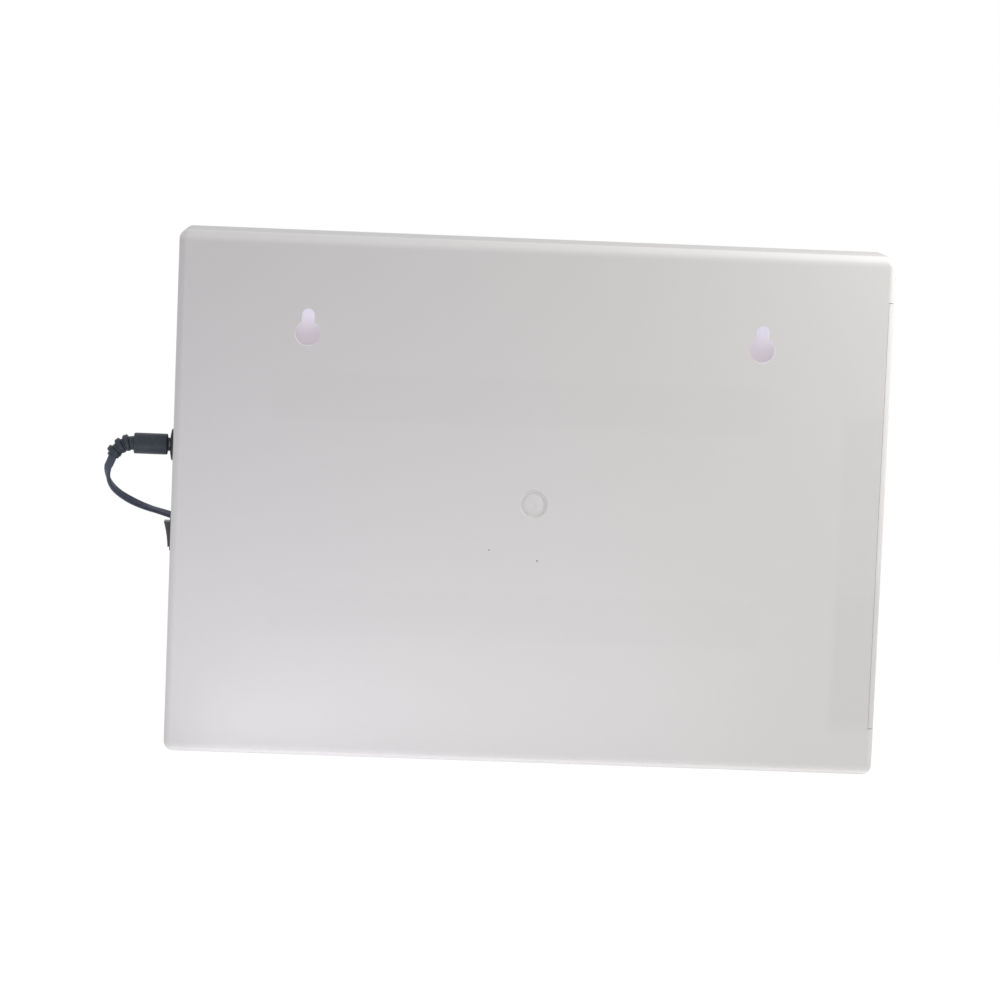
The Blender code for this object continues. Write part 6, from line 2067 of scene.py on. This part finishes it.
@dataclass(frozen=True)
class FarPlug:
    """The plug on the lead's far end: a moulded grip, a metal shell with its windows, and the tongue."""

    neck_length: float = 0.0080
    neck_radii: tuple[float, float] = (0.0023, 0.0030)
    neck_sunk: float = 0.0025
    neck_steps: int = 40
    body_edge: float = 0.0016
    grip_count: int = 4
    grip_width: float = 0.0009
    grip_depth: float = 0.0004
    grip_pitch: float = 0.0022
    shell: tuple[float, float] = (0.0120, 0.0045)
    shell_root: float = 0.0016
    shell_wall: float = 0.0004
    shell_radius: float = 0.0006
    windows: tuple[float, float] = (0.0024, 0.0020)
    window_spread: float = 0.0055
    window_inset: float = 0.0052
    contact_count: int = 4
    contact_size: Triple = (0.0070, 0.0011, 0.0001)
    contact_pitch: float = 0.0023
    contact_inset: float = 0.0012
    tongue_edge: float = 0.00015
    tongue_clear: float = 0.001
    overrun: float = 0.010
    gap: float = 0.0003

    def build(self, tip: Vector) -> list[bpy.types.Object]:
        """Makes the three pieces.

        Args:
            tip: Where the lead ends, on the plug's axis.

        Returns:
            The pieces, which are handed to the lead.
        """
        return [self._grip(tip), self._shell(tip), self._tongue()]

    def _grip(self, tip: Vector) -> bpy.types.Object:
        """The moulded body with its tapered neck, its rounded edges and shallow grip ribs."""
        low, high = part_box("usb_overmould")
        start = tip.x - self.gap
        neck_end = start - self.neck_length
        form = Form()
        form.block(low, (neck_end, high.y, high.z))
        form.round_off(form.bm.edges[:], self.body_edge, 6)
        body = form.solid("far_grip")
        neck = Form()
        thin, thick = self.neck_radii
        reach = self.neck_length + self.neck_sunk
        profile = ((0.0, 0.0), (thin, 0.0), (thick, self.neck_length), (thick, reach), (0.0, reach))
        neck.turned(profile, (start, tip.y, tip.z), (-1, 0, 0), self.neck_steps)
        worked(body, Operation.JOIN, neck.solid("far_neck"))
        width, height = self.shell
        socket = cuboid(
            "far_socket",
            (low.x - self.overrun, tip.y - width / 2 - self.gap, tip.z - height / 2 - self.gap),
            (low.x + self.shell_root + self.gap, tip.y + width / 2 + self.gap, tip.z + height / 2 + self.gap),
        )
        ribs = Form()
        for index in range(self.grip_count):
            x = low.x + (neck_end - low.x) / 2 + (index - (self.grip_count - 1) / 2) * self.grip_pitch
            for z in (low.z, high.z):
                floor = z + math.copysign(self.grip_depth, tip.z - z)
                outer = z - math.copysign(self.overrun, tip.z - z)
                half = high.y - tip.y - 2 * self.body_edge
                corner = (x - self.grip_width / 2, tip.y - half, min(floor, outer))
                ribs.block(corner, (x + self.grip_width / 2, tip.y + half, max(floor, outer)))
        worked(body, Operation.CUT, socket, ribs.solid("far_ribs"))
        return Dress(Body.LEAD, "plug_pvc", FlexiblePvc("slate_pvc_far_plug"), ("usb_overmould",)).put_on(body)

    def _shell(self, tip: Vector) -> bpy.types.Object:
        """The folded metal shell, open in front, with two square windows in its upper side."""
        low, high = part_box("usb_shell")
        form = Form()
        form.block(low, high)
        form.round_off(form.edges(along(Axis.X)), self.shell_radius, 5)
        front = [face for face in form.bm.faces if face.normal.x < -SQUARE_ON]
        bmesh.ops.inset_region(form.bm, faces=front, thickness=self.shell_wall, use_even_offset=True)
        made = bmesh.ops.extrude_face_region(form.bm, geom=front)["geom"]
        moved = [item for item in made if isinstance(item, bmesh.types.BMVert)]
        bmesh.ops.delete(form.bm, geom=front, context="FACES_ONLY")
        bmesh.ops.translate(form.bm, vec=(high.x - low.x - self.shell_wall, 0, 0), verts=moved)
        shell = form.solid("far_shell")
        holes = Form()
        for side in (-1, 1):
            y = tip.y + side * self.window_spread / 2
            x = low.x + self.window_inset
            end = (x + self.windows[0], y + self.windows[1] / 2, high.z + self.overrun)
            holes.block((x, y - self.windows[1] / 2, tip.z), end)
        worked(shell, Operation.CUT, holes.solid("windows"))
        finish = PlatedMetal("plated_far_shell")
        return Dress(Body.LEAD, "shell_steel", finish, ("usb_shell",)).put_on(shell)

    def _tongue(self) -> bpy.types.Object:
        """The insulating tongue with its four flat contacts let into it."""
        low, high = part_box("usb_tongue")
        form = Form()
        form.block(low, high)
        form.round_off(form.edges(along(Axis.Y)), self.tongue_edge, 2)
        tongue = form.solid("far_tongue")
        middle = (low.y + high.y) / 2
        grooves = Form()
        for index in range(self.contact_count):
            y = middle + (index - (self.contact_count - 1) / 2) * self.contact_pitch
            start_x = low.x + self.contact_inset
            start = (start_x, y - self.contact_size[1] / 2, high.z - self.contact_size[2])
            end = (start_x + self.contact_size[0], y + self.contact_size[1] / 2, high.z + self.tongue_clear)
            grooves.block(start, end)
        worked(tongue, Operation.CUT, grooves.solid("grooves"))
        finish = MouldedAbs("white_tongue")
        return Dress(Body.LEAD, "tongue_white", finish, ("usb_tongue",)).put_on(tongue)


@dataclass(frozen=True)
class Harness:
    """The wires inside the case."""

    red: tuple[str, ...] = ("wire_battery_positive", "wire_jack_switch", "wire_switch_strip", "wire_link_positive")
    black: tuple[str, ...] = ("wire_battery_negative", "wire_link_negative")
    face_angle: float = 0.7
    shape_angle: float = 3.2

    def build(self) -> None:
        """Makes each wire round and smooth from a copy of its solid."""
        red = Insulation("red_insulation")
        black = Insulation("black_insulation", colour=(0.016, 0.016, 0.018))
        for names, finish, slot in ((self.red, red, "wire_red"), (self.black, black, "wire_black")):
            for name in names:
                form = Form(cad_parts[name].data)
                angles = {"angle_face_threshold": self.face_angle, "angle_shape_threshold": self.shape_angle}
                bmesh.ops.join_triangles(form.bm, faces=form.bm.faces, **angles)
                wire = form.solid(name + "_insulated")
                finer = wire.modifiers.new("finer", "SUBSURF")
                finer.levels = 1
                finer.render_levels = 1
                Dress(Body.CASE, slot, finish, (name,), sharp=math.radians(70), flat_faces=False).put_on(wire)


def main() -> None:
    """Builds the studio and every sub-assembly, the lead first."""
    logging.basicConfig(level=logging.INFO, format="%(name)s: %(message)s")
    Studio().build()
    lead = Lead()
    line, _ = lead.line()
    tip = line[-1] + Vector((lead.buried, 0, 0))
    riders = [CoilTie().build(), *FarPlug().build(tip)]
    lead.build(riders)
    lead.plug.build()
    RearHousing().build()
    BatteryCover().build()
    FrontFrame().build()
    LightPanel().build()
    PowerSocket().build()
    RockerSwitch().build()
    CellContacts().build()
    Harness().build()


if __name__ == "__main__":
    main()
